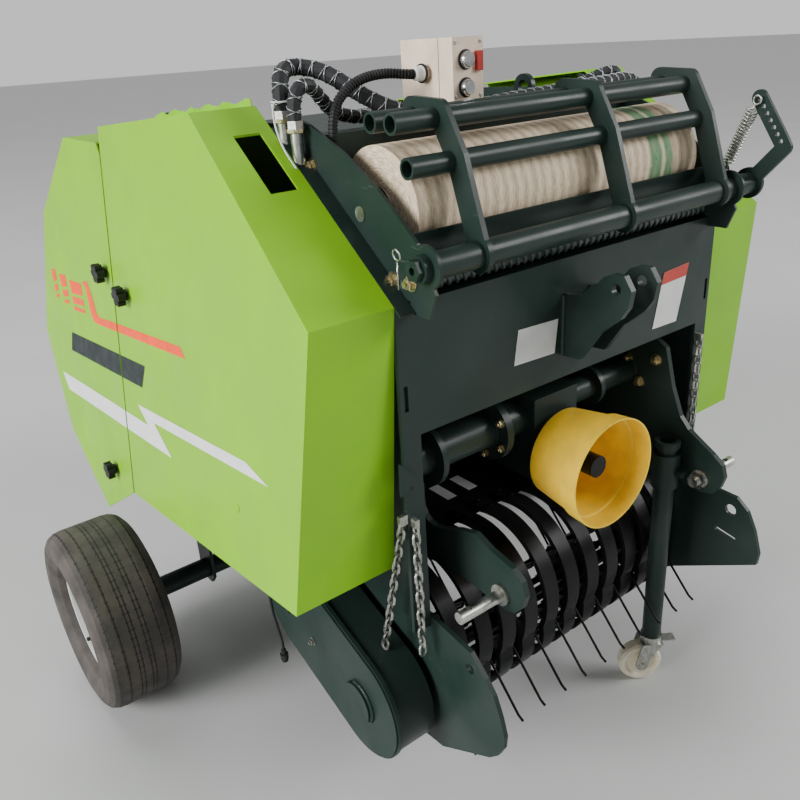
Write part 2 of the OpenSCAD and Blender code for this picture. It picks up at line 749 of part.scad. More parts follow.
module pickup_plates() from_panel() color(dark) difference() {
    union() for (s = sides) {
        side_yz(s, shield_in, shield_t) polygon(s > 0 ? shield_right : shield_left);
        side_block(s, [shield_out, 60, 472], [side_in, 175, 494]);
    }
    bar_x(reel_y, reel_z, reel_shaft_r + run_gap, -side_in, side_in);
    side_bar(right, -135, 460, 13, shield_in - 1, shield_out + 1);
    side_yz(right, shield_in - 1, shield_t + 2) link2d([-108, 399], [-150, 391], 10);
    side_bar(left, -103, 438, 10, shield_in - 1, shield_out + 1);
}

module pickup_top() from_panel() color(black) {
    block([-shield_in, 190, floor_z - 4], [shield_in, 350, floor_z]);
    block([-side_in, 350, floor_z - 4], [side_in, 540, floor_z]);
    block([-side_in, 350, floor_z - 30], [side_in, 354, floor_z - 4]);
}

band_hub = [145, 358];
band_big = 158;
band_small = reel_z - 178;
band_depth = 12;
band_room = 19;
band_count = floor(2 * (shield_in - band_room) / tine_pitch);

// A strip of a ring between two angles.
module arc2d(c, r, t, a, b) translate(c) intersection() {
    difference() {
        circle(r);
        circle(r - t);
    }
    polygon(concat([[0, 0]], [for (i = [0:6]) 1.5 * r * [cos(a + (b - a) * i / 6), sin(a + (b - a) * i / 6)]]));
}

module band2d(t) {
    arc2d(band_hub, band_big, t, 74, 200);
    arc2d([reel_y, reel_z], band_small, t, 166, 292);
}

module pickup_bands() from_panel() color(black)
    for (i = [0:band_count - 1]) {
        x = (i - (band_count - 1) / 2) * tine_pitch;
        plate_yz(x - band_w / 2, band_w) band2d(4);
        for (e = [-1, 1]) plate_yz(x + e * (band_w / 2 - 1.5) - 1.5, 3) band2d(band_depth);
        block([x - band_w / 2, 184, floor_z], [x + band_w / 2, 224, floor_z + 4]);
        block([x - band_w / 2, 184, floor_z], [x + band_w / 2, 206, floor_z + 8]);
    }

case_r = 120;
case_rise = 20;
case_end = [reel_y + 250 * cos(case_rise), reel_z + 250 * sin(case_rise)];

module drive_case() from_panel() color(dark) {
    side_yz(left, side_out, case_x - side_out) link2d([reel_y, reel_z], case_end, 2 * case_r - 8);
    side_yz(left, case_x - 12, 8) link2d([reel_y, reel_z], case_end, 2 * case_r);
    side_bar(left, reel_y, reel_z, 60, shield_out, side_out);
    side_yz(left, case_x, 10) intersection() {
        translate([reel_y, reel_z]) circle(42);
        translate([reel_y - 60, reel_z - 24]) square([120, 100]);
    }
    side_bar(left, case_end[0], case_end[1], 10, case_x, case_x + 16);
}

bar_at = 72;
tine_rows = 4;
disc_r = 84;
tine_foot = [bar_at * cos(154.4), bar_at * sin(154.4)];
tine_tip = [tine_r * cos(205.5), tine_r * sin(205.5)];

module reel() from_panel() color(black) {
    bar_x(reel_y, reel_z, reel_shaft_r, -shield_out + 0.5, shield_out - 0.5);
    for (x = [-shield_in + 7, -2 * tine_pitch - 3, 2 * tine_pitch - 3, shield_in - 13])
        bar_x(reel_y, reel_z, disc_r, x, x + 6);
    translate([0, reel_y, reel_z]) for (row = [0:tine_rows - 1]) rotate([90 * row, 0, 0]) {
        bar_x(tine_foot[0], tine_foot[1], 8, -shield_in + 10, shield_in - 10);
        for (i = [0:band_count]) translate([(i - band_count / 2) * tine_pitch, 0, 0]) tine();
    }
}

// One spring tine: a coil on its bar and a straight wire out to the tip.
module tine() {
    bar_x(tine_foot[0], tine_foot[1], 11, -6, 6);
    d = tine_tip - tine_foot;
    translate([0, tine_foot[0], tine_foot[1]]) rotate([atan2(d[1], d[0]), 0, 0])
        rotate([-90, 0, 0]) cylinder(r = wire_r, h = norm(d));
}

// Chains of oval links, each passing through the last

link_wire = 2.6;
link_half = 12.6;
link_side = 6.6;
link_pitch = 2 * (link_half - link_wire) - seat_gap;
link_rings = 10;
link_sides = 6;

function link_angle(i) = (i % 5) * 45 + (i < 5 ? 0 : 180);
function link_out(i) = [cos(link_angle(i)), sin(link_angle(i))];
function link_centre(i) = link_side * link_out(i) + [0, (i < 5 ? 1 : -1) * (link_half - link_side)];

module chain_link() polyhedron(
    [for (i = [0:link_rings - 1], k = [0:link_sides - 1]) let (c = link_centre(i), n = link_out(i), u = 360 * k / link_sides)
        [c[0] + link_wire * cos(u) * n[0], link_wire * sin(u), c[1] + link_wire * cos(u) * n[1]]],
    [for (i = [0:link_rings - 1], k = [0:link_sides - 1]) let (j = (i + 1) % link_rings, m = (k + 1) % link_sides)
        [i * link_sides + k, j * link_sides + k, j * link_sides + m, i * link_sides + m]]);

// A hanging run of links up from b towards a.
module chain(a, b, count) {
    d = unit(a - b);
    for (i = [0:count - 1]) translate(b + d * (i * link_pitch))
        rotate([0, acos(d[2]), atan2(d[1], d[0])]) rotate(90 * (i % 2)) chain_link();
}

// Two strands on the left post, one on the right.
module chains() from_panel() color(zinc) {
    block([-post_out - 16, 0, 702], [-post_out, post_t, 720]);
    chain([-post_out - 9, 5.5, 698], [-post_out - 19, 70, reel_z + 129.5], 16);
    block([-post_out + 4, -16, 697], [-post_out + 12, 0, 713]);
    chain([-post_out + 8, -10, 694], [-post_out + 8, -10, 436], 14);
    block([side_in - 6, -16, 818], [side_in + 2, 0, 834]);
    chain([side_in - 2, -10, 815], [side_in - 2, -10, 597], 12);
}

// Wheels: tyre and rim of each side are one body

rim_r = 113;
bead_r = rim_r + 8;
rim_lip = rim_r + 18;
rim_half = 58;
tyre_half = tyre_w / 2;

// Half a tyre's section: radius, distance from its middle.
wall_h = tyre_r - bead_r;
tyre_profile = [[bead_r + seat_gap, rim_half - 8], [bead_r + 11, rim_half - 4], [bead_r + 0.24 * wall_h, tyre_half - 16],
    [bead_r + 0.45 * wall_h, tyre_half - 2], [bead_r + 0.6 * wall_h, tyre_half], [tyre_r - 22, tyre_half - 5],
    [tyre_r - 9, tyre_half - 14], [tyre_r - 2, tyre_half - 28], [tyre_r, tyre_half - 44]];

module tyre(s) from_panel() color("#4f4844") turned_x(axle_y, axle_z) translate([0, s * wheel_x])
    polygon(concat([for (q = tyre_profile) q], [for (i = [len(tyre_profile) - 1:-1:0]) [tyre_profile[i][0], -tyre_profile[i][1]]]));

module tyre_left() tyre(left);
module tyre_right() tyre(right);

hub_r = 34;
nut_circle = 52;
nut_count = 5;

module rim(s) from_panel() color("#c8cacb") {
    turned_x(axle_y, axle_z) translate([0, s * wheel_x]) {
        polygon([[rim_r, -rim_half - 4], [rim_lip, -rim_half - 4], [rim_lip, -rim_half], [bead_r, -rim_half],
            [bead_r, rim_half], [rim_lip, rim_half], [rim_lip, rim_half + 4], [rim_r, rim_half + 4]]);
        polygon([for (q = [[hub_r - 1, 4], [hub_r - 1, 10], [68, 10], [84, 30], [rim_r + 1, 30], [rim_r + 1, 24],
            [88, 24], [72, 4]]) [q[0], s * q[1]]]);
        polygon([for (q = [[spindle_end_r + run_gap, -hub_half], [hub_r, -hub_half], [hub_r, 40], [28, 44], [28, 52],
            [0, 56], [0, 44], [spindle_end_r + run_gap, 44]]) [q[0], s * q[1]]]);
    }
    for (i = [0:nut_count - 1]) translate([0, axle_y, axle_z]) rotate([72 * i, 0, 0])
        side_yz(s, wheel_x + 9, 12) translate([0, nut_circle]) circle(9, $fn = 6);
}
module rim_left() rim(left);
module rim_right() rim(right);

// Jack: clamp on the right arm, outer tube, inner leg and swivelling caster

swivel_top = 125;
socket_h = 46;
tube_foot = swivel_top + socket_h + seat_gap;
tube_top = 639;
inner_r = leg_r - 4;
stem_r = 11;

module jack_sleeve() from_panel() color(dark) difference() {
    union() {
        translate([jack_x, jack_y, 530]) cylinder(r = leg_r + 7, h = 80);
        block([jack_x, jack_y - 14, 540], [arm_in, jack_y + 14, 600]);
        translate([jack_x, jack_y, 570]) rotate([90, 0, 0]) cylinder(r = 8, h = leg_r + 22);
    }
    translate([jack_x, jack_y, 529]) cylinder(r = leg_r + seat_gap, h = 82);
}

module jack_tube() from_panel() color(dark) translate([jack_x, jack_y, 0]) {
    difference() {
        union() {
            translate([0, 0, tube_foot]) cylinder(r = leg_r, h = tube_top - tube_foot);
            translate([0, 0, tube_top - 16]) cylinder(r = leg_r + 5, h = 16);
        }
        translate([0, 0, tube_foot - 1]) cylinder(r = inner_r + run_gap, h = tube_top - tube_foot + 2);
    }
}

module jack_leg() from_panel() color(dark) translate([jack_x, jack_y, 0]) difference() {
    union() {
        translate([0, 0, swivel_top + seat_gap]) cylinder(r = inner_r, h = 400);
        translate([0, 0, swivel_top + seat_gap]) cylinder(r = leg_r, h = socket_h - seat_gap);
    }
    translate([0, 0, swivel_top - 1]) cylinder(r = stem_r + run_gap, h = 45);
}

caster_trail = 25;
caster_turn = 146;
caster_half = 16;
fork_t = 4;
caster_pin_r = 6;

module at_caster() translate([jack_x, jack_y, 0]) rotate(caster_turn) children();

module caster_fork() from_panel() color(zinc) at_caster() {
    translate([0, 0, swivel_top - 16]) cylinder(r = leg_r + 3, h = 16);
    translate([0, 0, swivel_top - 1]) cylinder(r = stem_r, h = 40);
    translate([-22, -caster_half - 5 - fork_t, swivel_top - 20]) cube([48, 2 * (caster_half + 5 + fork_t), 4]);
    for (e = [-1, 1]) translate([0, e * (caster_half + 5 + fork_t / 2) + fork_t / 2, 0]) rotate([90, 0, 0]) linear_extrude(fork_t) {
        link2d([caster_trail, caster_r], [caster_trail - 4, 72], 30);
        polygon([[-22, swivel_top - 16], [26, swivel_top - 16], [36, 72], [10, 60]]);
    }
    translate([caster_trail, -caster_half - 5 - fork_t - 4, caster_r]) rotate([-90, 0, 0])
        cylinder(r = caster_pin_r, h = 2 * (caster_half + 9 + fork_t));
    translate([-56, -12, swivel_top - 19]) cube([36, 24, 3]);
}

module caster_wheel() from_panel() color("#e2e4e2") at_caster()
    translate([caster_trail, 0, caster_r]) rotate([-90, 0, 0]) rotate_extrude()
        polygon([[caster_pin_r + run_gap, -caster_half - 2], [16, -caster_half - 2], [16, -10], [34, -10], [38, -caster_half], [46, -caster_half],
            [caster_r, -10], [caster_r, 10], [46, caster_half], [38, caster_half], [34, 10], [16, 10], [16, caster_half + 2],
            [caster_pin_r + run_gap, caster_half + 2]]);

side_plate_left();
side_plate_right();
front_panel();
toplink_ears();
hitch_arms();
hitch_pins();
cross_tube();
gearbox();
pto_guard();
pto_shaft();
chamber_rollers();
top_sheet();
axle();
net_cradle();
net_tray();
top_beam();
feed_roller();
net_roll();
net_spindle();
net_gate();
gate_arms();
brake_spring();
control_box();
box_conduit();
hoses();
hoses_back();
hose_ports();
sensor_lead();
sensor_plug();
cover_left();
cover_right();
cover_rear_left();
cover_rear_right();
knobs_front();
knobs_rear();
tailgate_plates();
tailgate_rollers();
tailgate_beams();
cylinder_left();
cylinder_right();
rod_left();
rod_right();
pickup_plates();
pickup_top();
pickup_bands();
drive_case();
reel();
chains();
tyre_left();
tyre_right();
rim_left();
rim_right();
jack_sleeve();
jack_tube();
jack_leg();
caster_fork();
caster_wheel();
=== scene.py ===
"""The looks of a compact round baler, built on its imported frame.

The frame brings every solid. This file gives the solids their finishes and adds what is
too fine for them: stripes, plates, bolts, clips, ribs, spiral guards, welds and the stage.
The frame's axes are X across, Y to the rear and Z up. Places, outlines, turned profiles and
what is named or commented as millimetres are in millimetres, places from the front panel's
face, and at() and turned() make metres of them. All other lengths are in metres.
"""
import json
import math
import random

import bmesh
import bpy
from bpy.props import FloatProperty, FloatVectorProperty, PointerProperty
from mathutils import Matrix, Vector


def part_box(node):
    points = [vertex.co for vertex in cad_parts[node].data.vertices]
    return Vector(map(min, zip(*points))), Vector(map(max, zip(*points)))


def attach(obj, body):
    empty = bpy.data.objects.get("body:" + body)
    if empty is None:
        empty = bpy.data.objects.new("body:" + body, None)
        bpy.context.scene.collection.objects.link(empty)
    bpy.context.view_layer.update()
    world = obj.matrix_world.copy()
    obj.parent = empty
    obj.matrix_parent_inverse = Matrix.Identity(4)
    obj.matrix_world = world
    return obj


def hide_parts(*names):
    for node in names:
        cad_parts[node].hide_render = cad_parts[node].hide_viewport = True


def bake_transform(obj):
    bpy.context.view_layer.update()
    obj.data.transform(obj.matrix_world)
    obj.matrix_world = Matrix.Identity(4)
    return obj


bl_info = {
    "name": "Round baler looks",
    "version": (1, 0, 0),
    "blender": (4, 5, 0),
    "location": "View3D > Sidebar > Baler",
    "description": "Finishes and fine pieces for a compact round baler",
    "category": "Object",
}

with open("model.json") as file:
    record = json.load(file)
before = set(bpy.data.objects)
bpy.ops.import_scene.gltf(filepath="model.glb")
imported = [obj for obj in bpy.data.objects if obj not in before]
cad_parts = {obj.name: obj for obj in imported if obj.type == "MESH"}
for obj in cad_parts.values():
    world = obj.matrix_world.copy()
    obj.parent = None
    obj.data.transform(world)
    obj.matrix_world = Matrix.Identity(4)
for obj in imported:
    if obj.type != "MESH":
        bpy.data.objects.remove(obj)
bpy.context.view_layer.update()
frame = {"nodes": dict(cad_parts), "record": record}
NODES = frame["nodes"]
PANEL_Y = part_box("front_panel")[0][1]


# Colours, places and directions

def linear(code):
    """An sRGB hex colour as linear red, green, blue and alpha."""
    parts = [int(code[i:i + 2], 16) / 255 for i in (1, 3, 5)]
    return tuple(p / 12.92 if p <= 0.04045 else ((p + 0.055) / 1.055) ** 2.4 for p in parts) + (1.0,)


def at(x, y, z):
    """A point given in millimetres from the front panel's face, in the frame's metres."""
    return Vector((x / 1000, PANEL_Y + y / 1000, z / 1000))


def middle_of(name):
    """The middle of a node's box."""
    low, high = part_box(name)
    return (Vector(low) + Vector(high)) / 2


LEFTWARD = Vector((-1, 0, 0))
RIGHTWARD = Vector((1, 0, 0))
FORWARD = Vector((0, -1, 0))
UPWARD = Vector((0, 0, 1))
DOWNWARD = Vector((0, 0, -1))


# Camera

EYE = at(-1088, -927, 1445)
LOOK = Vector((0.5379, 0.7370, -0.4092))
RIGHT = Vector((0.7906, -0.6095, -0.0584))
LENS_MM = 36.34
SENSOR_MM = 36.0
NEAR_CLIP = 0.05


def make_camera():
    data = bpy.data.cameras.new("photo_camera")
    data.sensor_width = SENSOR_MM
    data.lens = LENS_MM
    data.clip_start = NEAR_CLIP
    camera = bpy.data.objects.new("photo_camera", data)
    forward = LOOK.normalized()
    right = (RIGHT - RIGHT.dot(forward) * forward).normalized()
    up = right.cross(forward)
    turn = Matrix((right, up, -forward)).transposed().to_4x4()
    camera.matrix_world = Matrix.Translation(EYE) @ turn
    bpy.context.scene.collection.objects.link(camera)
    bpy.context.scene.camera = camera


make_camera()


# The route of the sensor's lead, a free cord that hangs from its bracket; no piece is made along it

LEAD_POINTS = ((-545, 285, 589.7), (-545, 285, 568), (-547, 284, 535), (-553, 278, 495),
               (-559, 264, 450), (-561, 246, 415), (-560, 236, 386), (-560, 236, 366.3))


def rounded(points, rounds=2):
    """Points in millimetres from the panel, with their corners cut as the solids' own tubes have them."""
    made = [Vector(p) for p in points]
    for _ in range(rounds):
        cut = [made[0]]
        for one, two in zip(made, made[1:]):
            cut += [one.lerp(two, 0.25), one.lerp(two, 0.75)]
        made = cut + [made[-1]]
    return [at(*p) for p in made]


LEAD_ROUTE = rounded(LEAD_POINTS)


# Shader helpers

MATH = "ShaderNodeMath"
MIX = "ShaderNodeMix"
NOISE = "ShaderNodeTexNoise"
SPREAD = "ShaderNodeMapRange"
FACTOR = 0
FIRST_COLOUR = 6
SECOND_COLOUR = 7


def feed(tree, target, inputs):
    """Fills a node's inputs with numbers, colours, outputs, or nodes, whose first output in use is taken."""
    for key, value in inputs.items():
        if isinstance(value, bpy.types.Node):
            value = next(socket for socket in value.outputs if socket.enabled)
        if isinstance(value, bpy.types.NodeSocket):
            tree.links.new(value, target.inputs[key])
        else:
            target.inputs[key].default_value = value


def node(tree, kind, inputs=None, **settings):
    """Adds a shader node with its settings, and feeds its inputs."""
    made = tree.nodes.new(kind)
    for key, value in settings.items():
        setattr(made, key, value)
    feed(tree, made, inputs or {})
    return made


def fresh(name, rough, metal=0.0, ior=1.5, gloss=0.5):
    """A new material with its tree, its shader and its place on the object."""
    made = bpy.data.materials.new(name)
    made.use_nodes = True
    tree = made.node_tree
    shader = tree.nodes["Principled BSDF"]
    feed(tree, shader, {"Roughness": rough, "Metallic": metal, "IOR": ior, "Specular IOR Level": gloss})
    return made, tree, shader, node(tree, "ShaderNodeTexCoord")


def greyed(colour, share, added):
    """A share of a colour with some grey added."""
    return tuple(share * part + added for part in colour[:3]) + (1.0,)


def patches(tree, place, size_mm, low=0.35, high=0.65, detail=3.0, stretch=(1.0, 1.0, 1.0), turn=0.0):
    """Soft patches about size_mm across, from 0 where the noise is low to 1 where it is high."""
    spot = node(tree, "ShaderNodeMapping", {"Vector": place.outputs["Object"], "Scale": stretch,
                                            "Rotation": (turn, turn, 0.0)})
    noise = node(tree, NOISE, {"Vector": spot, "Scale": 1000 / size_mm, "Detail": detail})
    return node(tree, SPREAD, {"Value": noise, "From Min": low, "From Max": high})


def relief(tree, shader, height, depth_mm, strength):
    """Raises the surface by a height."""
    bump = node(tree, "ShaderNodeBump", {"Height": height, "Strength": strength, "Distance": depth_mm / 1000})
    feed(tree, shader, {"Normal": bump})


def uneven(tree, place, shader, low, high, size_mm):
    """Roughness that drifts between low and high over patches of size_mm."""
    drift = patches(tree, place, size_mm)
    feed(tree, shader, {"Roughness": node(tree, SPREAD, {"Value": drift, "To Min": low, "To Max": high})})


# Finishes

def sprayed_paint(name, colour, rough=0.4, coat=0.15, scratched=0.12, gloss=0.5):
    """Enamel sprayed on steel sheet: an even colour with faint orange peel, and hairline
    scratches drawn 2 mm wide so that they show, where chains and hands have rubbed it."""
    made, tree, shader, place = fresh(name, rough, ior=1.3, gloss=gloss)
    dusty = greyed(colour, 0.88, 0.012)
    worn = greyed(colour, 0.55, 0.16)
    dust = patches(tree, place, size_mm=160)
    tone = node(tree, MIX, {FACTOR: dust, FIRST_COLOUR: dusty, SECOND_COLOUR: colour}, data_type="RGBA")
    hairlines = patches(tree, place, 2.0, low=0.68, high=0.74, detail=2.0, stretch=(1.0, 0.05, 1.0), turn=0.5)
    rubbed = patches(tree, place, 70, low=0.5, high=0.7)
    lines = node(tree, MATH, {0: hairlines, 1: rubbed}, operation="MULTIPLY")
    faint = node(tree, MATH, {0: lines, 1: scratched * 4}, operation="MULTIPLY")
    tone = node(tree, MIX, {FACTOR: faint, FIRST_COLOUR: tone, SECOND_COLOUR: worn}, data_type="RGBA")
    feed(tree, shader, {"Base Color": tone, "Coat Weight": coat, "Coat Roughness": 0.15})
    relief(tree, shader, patches(tree, place, size_mm=3.0), depth_mm=0.06, strength=0.12)
    uneven(tree, place, shader, rough - 0.07, rough + 0.08, size_mm=90)
    return made


def plated_steel(name, colour, tint, rough=0.36):
    """Electroplated steel: a bright grey metal that clouds towards its passivate's tint
    over a few millimetres, more matt where it has been handled."""
    made, tree, shader, place = fresh(name, rough, metal=1.0)
    clouds = patches(tree, place, size_mm=9)
    tone = node(tree, MIX, {FACTOR: clouds, FIRST_COLOUR: colour, SECOND_COLOUR: tint}, data_type="RGBA")
    feed(tree, shader, {"Base Color": tone})
    relief(tree, shader, patches(tree, place, size_mm=1.2), depth_mm=0.05, strength=0.2)
    uneven(tree, place, shader, rough - 0.1, rough + 0.12, size_mm=25)
    return made


def moulded_plastic(name, colour, rough=0.45, grain_mm=1.5, soil=0.08, bleed=0.0):
    """Moulded plastic: one colour through the wall, a fine grain, and a little dust in
    patches. Light bleeds through a thin wall of it in the wall's own colour."""
    made, tree, shader, place = fresh(name, rough, ior=1.4, gloss=0.4)
    soiled = greyed(colour, 1 - soil * 3, soil * 0.2)
    dust = patches(tree, place, 45, low=0.4, high=0.75)
    tone = node(tree, MIX, {FACTOR: dust, FIRST_COLOUR: colour, SECOND_COLOUR: soiled}, data_type="RGBA")
    feed(tree, shader, {"Base Color": tone, "Subsurface Weight": bleed, "Subsurface Scale": 0.02,
                        "Subsurface Radius": colour[:3]})
    relief(tree, shader, patches(tree, place, grain_mm), depth_mm=0.05, strength=0.2)
    uneven(tree, place, shader, rough - 0.05, rough + 0.1, size_mm=30)
    return made


def ribbed_steel(name, colour, bare):
    """Dark painted rollers: the paint on the ribs is rubbed thin, so dull steel shows in streaks
    along the roller."""
    made, tree, shader, place = fresh(name, 0.42)
    rubbed = patches(tree, place, 14, low=0.55, high=0.7, stretch=(0.15, 1.0, 1.0))
    thin = node(tree, MATH, {0: rubbed, 1: 0.45}, operation="MULTIPLY")
    tone = node(tree, MIX, {FACTOR: thin, FIRST_COLOUR: colour, SECOND_COLOUR: bare}, data_type="RGBA")
    metal = node(tree, MATH, {0: rubbed, 1: 0.5}, operation="MULTIPLY")
    feed(tree, shader, {"Base Color": tone, "Metallic": metal, "Coat Weight": 0.1})
    relief(tree, shader, patches(tree, place, size_mm=2.5), depth_mm=0.08, strength=0.2)
    uneven(tree, place, shader, 0.35, 0.55, size_mm=40)
    return made


def round_parts(tree, place, centre):
    """How far a point lies along X, how far out from the line along X through centre, and at what angle."""
    split = node(tree, "ShaderNodeSeparateXYZ", {"Vector": place.outputs["Object"]})
    rearward = node(tree, MATH, {0: split.outputs["Y"], 1: centre.y}, operation="SUBTRACT")
    upward = node(tree, MATH, {0: split.outputs["Z"], 1: centre.z}, operation="SUBTRACT")
    rearward_squared = node(tree, MATH, {0: rearward, 1: rearward}, operation="MULTIPLY")
    upward_squared = node(tree, MATH, {0: upward, 1: upward}, operation="MULTIPLY")
    both = node(tree, MATH, {0: rearward_squared, 1: upward_squared}, operation="ADD")
    reach = node(tree, MATH, {0: both}, operation="SQRT")
    angle = node(tree, MATH, {0: upward, 1: rearward}, operation="ARCTAN2")
    return split.outputs["X"], reach, angle


GROOVES_MM = (9, 18, 43, 66)
NICKS_ROUND = 72
NICK_SHARE = 0.16
GROOVE_HALF = 0.0015
NICK_HALF = 0.0022
TREAD_REACH = 0.185


def tyre_rubber(name, colour, dusty, groove_shade_colour, centre):
    """Rubber of an implement tyre: dusty brown black, with 3 mm grooves round the tread and
    short nicks at their edges, and a plain sidewall. The grooves and nicks are coloured near
    black as painted shade in them."""
    made, tree, shader, place = fresh(name, 0.75, ior=1.52)
    x, reach, angle = round_parts(tree, place, centre)
    side = node(tree, MATH, {0: x}, operation="ABSOLUTE")
    off_middle = node(tree, MATH, {0: side, 1: abs(centre.x)}, operation="SUBTRACT")
    across = node(tree, MATH, {0: off_middle}, operation="ABSOLUTE")
    turns = node(tree, MATH, {0: angle, 1: NICKS_ROUND / math.tau}, operation="MULTIPLY")
    part = node(tree, MATH, {0: turns}, operation="FRACT")
    nicks = node(tree, MATH, {0: part, 1: NICK_SHARE}, operation="LESS_THAN")
    wider = node(tree, MATH, {0: nicks, 1: NICK_HALF}, operation="MULTIPLY")
    half = node(tree, MATH, {0: wider, 1: GROOVE_HALF}, operation="ADD")
    cut = 0.0
    for middle in GROOVES_MM:
        past = node(tree, MATH, {0: across, 1: middle / 1000}, operation="SUBTRACT")
        off = node(tree, MATH, {0: past}, operation="ABSOLUTE")
        groove = node(tree, MATH, {0: off, 1: half}, operation="LESS_THAN")
        cut = node(tree, MATH, {0: groove, 1: cut}, operation="MAXIMUM")
    on_tread = node(tree, MATH, {0: reach, 1: TREAD_REACH}, operation="GREATER_THAN")
    cut = node(tree, MATH, {0: cut, 1: on_tread}, operation="MULTIPLY")
    dust = patches(tree, place, 60, low=0.35, high=0.7)
    tone = node(tree, MIX, {FACTOR: dust, FIRST_COLOUR: colour, SECOND_COLOUR: dusty}, data_type="RGBA")
    # Painted shade: the tread's grooves and nicks take the near-black groove shade colour.
    tone = node(tree, MIX, {FACTOR: cut, FIRST_COLOUR: tone, SECOND_COLOUR: groove_shade_colour}, data_type="RGBA")
    feed(tree, shader, {"Base Color": tone})
    grain = node(tree, MATH, {0: patches(tree, place, size_mm=6), 1: 0.08}, operation="MULTIPLY")
    height = node(tree, MATH, {0: grain, 1: cut}, operation="SUBTRACT")
    relief(tree, shader, height, depth_mm=3.5, strength=0.7)
    uneven(tree, place, shader, 0.66, 0.84, size_mm=35)
    return made


ROLL_REACH = 0.1
RIDGE_PITCH = 0.022
RIDGE_SHARE = 0.45
FIBRE_SHARE = 0.55
FIBRES_ACROSS = 420.0
FIBRES_ROUND = 55.0
SWAYS_ACROSS = 60.0
SWAYS_ROUND = 28.0
SWAY = 0.012
STRIPE_MIDDLE = 0.237 + 0.006
STRIPE_INSIDE = 0.029
STRIPE_OUTSIDE = 0.037
GAP_MIDDLE = 0.237 + 0.012
GAP_INSIDE = 0.003
GAP_OUTSIDE = 0.007


def wound_net(name, colour, shade, stripe, centre):
    """Knitted polyethylene net on its roll: soft ridges 22 mm apart where the selvedges build
    up, fibres 2 mm wide drawn round the roll, and two bands of green threads near the right end.
    The ridges are painted with light on their tops and painted shade in their hollows; the
    fibres' tone is the net's grain. The ends show fibres alone."""
    made, tree, shader, place = fresh(name, 0.7, ior=1.49)
    x, reach, angle = round_parts(tree, place, centre)
    facing = node(tree, "ShaderNodeSeparateXYZ", {"Vector": place.outputs["Normal"]})
    sideways = node(tree, MATH, {0: facing.outputs["X"]}, operation="ABSOLUTE")
    is_end = node(tree, MATH, {0: sideways, 1: 0.5}, operation="GREATER_THAN")
    is_wall = node(tree, MATH, {0: 1.0, 1: is_end}, operation="SUBTRACT")
    wall_part = node(tree, MATH, {0: x, 1: is_wall}, operation="MULTIPLY")
    end_part = node(tree, MATH, {0: reach, 1: is_end}, operation="MULTIPLY")
    across = node(tree, MATH, {0: wall_part, 1: end_part}, operation="ADD")
    arc = node(tree, MATH, {0: angle, 1: ROLL_REACH}, operation="MULTIPLY")

    sway_x = node(tree, MATH, {0: across, 1: SWAYS_ACROSS}, operation="MULTIPLY")
    sway_y = node(tree, MATH, {0: arc, 1: SWAYS_ROUND}, operation="MULTIPLY")
    sway_place = node(tree, "ShaderNodeCombineXYZ", {"X": sway_x, "Y": sway_y})
    sway = node(tree, NOISE, {"Vector": sway_place, "Scale": 1.0, "Detail": 2.0})
    sway = node(tree, MATH, {0: sway, 1: SWAY}, operation="MULTIPLY")
    shifted = node(tree, MATH, {0: across, 1: sway}, operation="ADD")

    fibre_x = node(tree, MATH, {0: shifted, 1: FIBRES_ACROSS}, operation="MULTIPLY")
    fibre_y = node(tree, MATH, {0: arc, 1: FIBRES_ROUND}, operation="MULTIPLY")
    fibre_place = node(tree, "ShaderNodeCombineXYZ", {"X": fibre_x, "Y": fibre_y})
    fibre = node(tree, NOISE, {"Vector": fibre_place, "Scale": 1.0, "Detail": 4.0})
    fibre = node(tree, SPREAD, {"Value": fibre, "From Min": 0.3, "From Max": 0.7})

    ridge = node(tree, MATH, {0: shifted, 1: math.tau / RIDGE_PITCH}, operation="MULTIPLY")
    ridge = node(tree, MATH, {0: ridge}, operation="SINE")
    ridge = node(tree, MATH, {0: ridge, 1: 0.5}, operation="MULTIPLY")
    ridge = node(tree, MATH, {0: ridge, 1: 0.5}, operation="ADD")
    ridge = node(tree, MATH, {0: ridge, 1: is_wall}, operation="MULTIPLY")
    end_fibre = node(tree, MATH, {0: fibre, 1: is_end}, operation="MULTIPLY")
    ridge = node(tree, MATH, {0: ridge, 1: end_fibre}, operation="ADD")
    ridge_light = node(tree, MATH, {0: ridge, 1: RIDGE_SHARE}, operation="MULTIPLY")
    fibre_light = node(tree, MATH, {0: fibre, 1: FIBRE_SHARE}, operation="MULTIPLY")
    light = node(tree, MATH, {0: ridge_light, 1: fibre_light}, operation="ADD")
    # Painted light and shade: the ridges' tops take the net colour and their hollows the shade tone; the
    # fibres' tone is the net's grain.
    tone = node(tree, MIX, {FACTOR: light, FIRST_COLOUR: shade, SECOND_COLOUR: colour}, data_type="RGBA")

    off = node(tree, MATH, {0: shifted, 1: STRIPE_MIDDLE}, operation="SUBTRACT")
    off = node(tree, MATH, {0: off}, operation="ABSOLUTE")
    inside = node(tree, SPREAD, {"Value": off, "From Min": STRIPE_OUTSIDE, "From Max": STRIPE_INSIDE})
    gap = node(tree, MATH, {0: shifted, 1: GAP_MIDDLE}, operation="SUBTRACT")
    gap = node(tree, MATH, {0: gap}, operation="ABSOLUTE")
    gap = node(tree, SPREAD, {"Value": gap, "From Min": GAP_INSIDE, "From Max": GAP_OUTSIDE, "To Min": 0.35})
    green = node(tree, MATH, {0: inside, 1: gap}, operation="MULTIPLY")
    thread = node(tree, MATH, {0: fibre, 1: 0.4}, operation="MULTIPLY")
    thread = node(tree, MATH, {0: thread, 1: 0.6}, operation="ADD")
    green = node(tree, MATH, {0: green, 1: thread}, operation="MULTIPLY")
    tone = node(tree, MIX, {FACTOR: green, FIRST_COLOUR: tone, SECOND_COLOUR: stripe}, data_type="RGBA")
    feed(tree, shader, {"Base Color": tone})
    relief(tree, shader, light, depth_mm=1.6, strength=0.6)
    return made


MATERIALS = {}


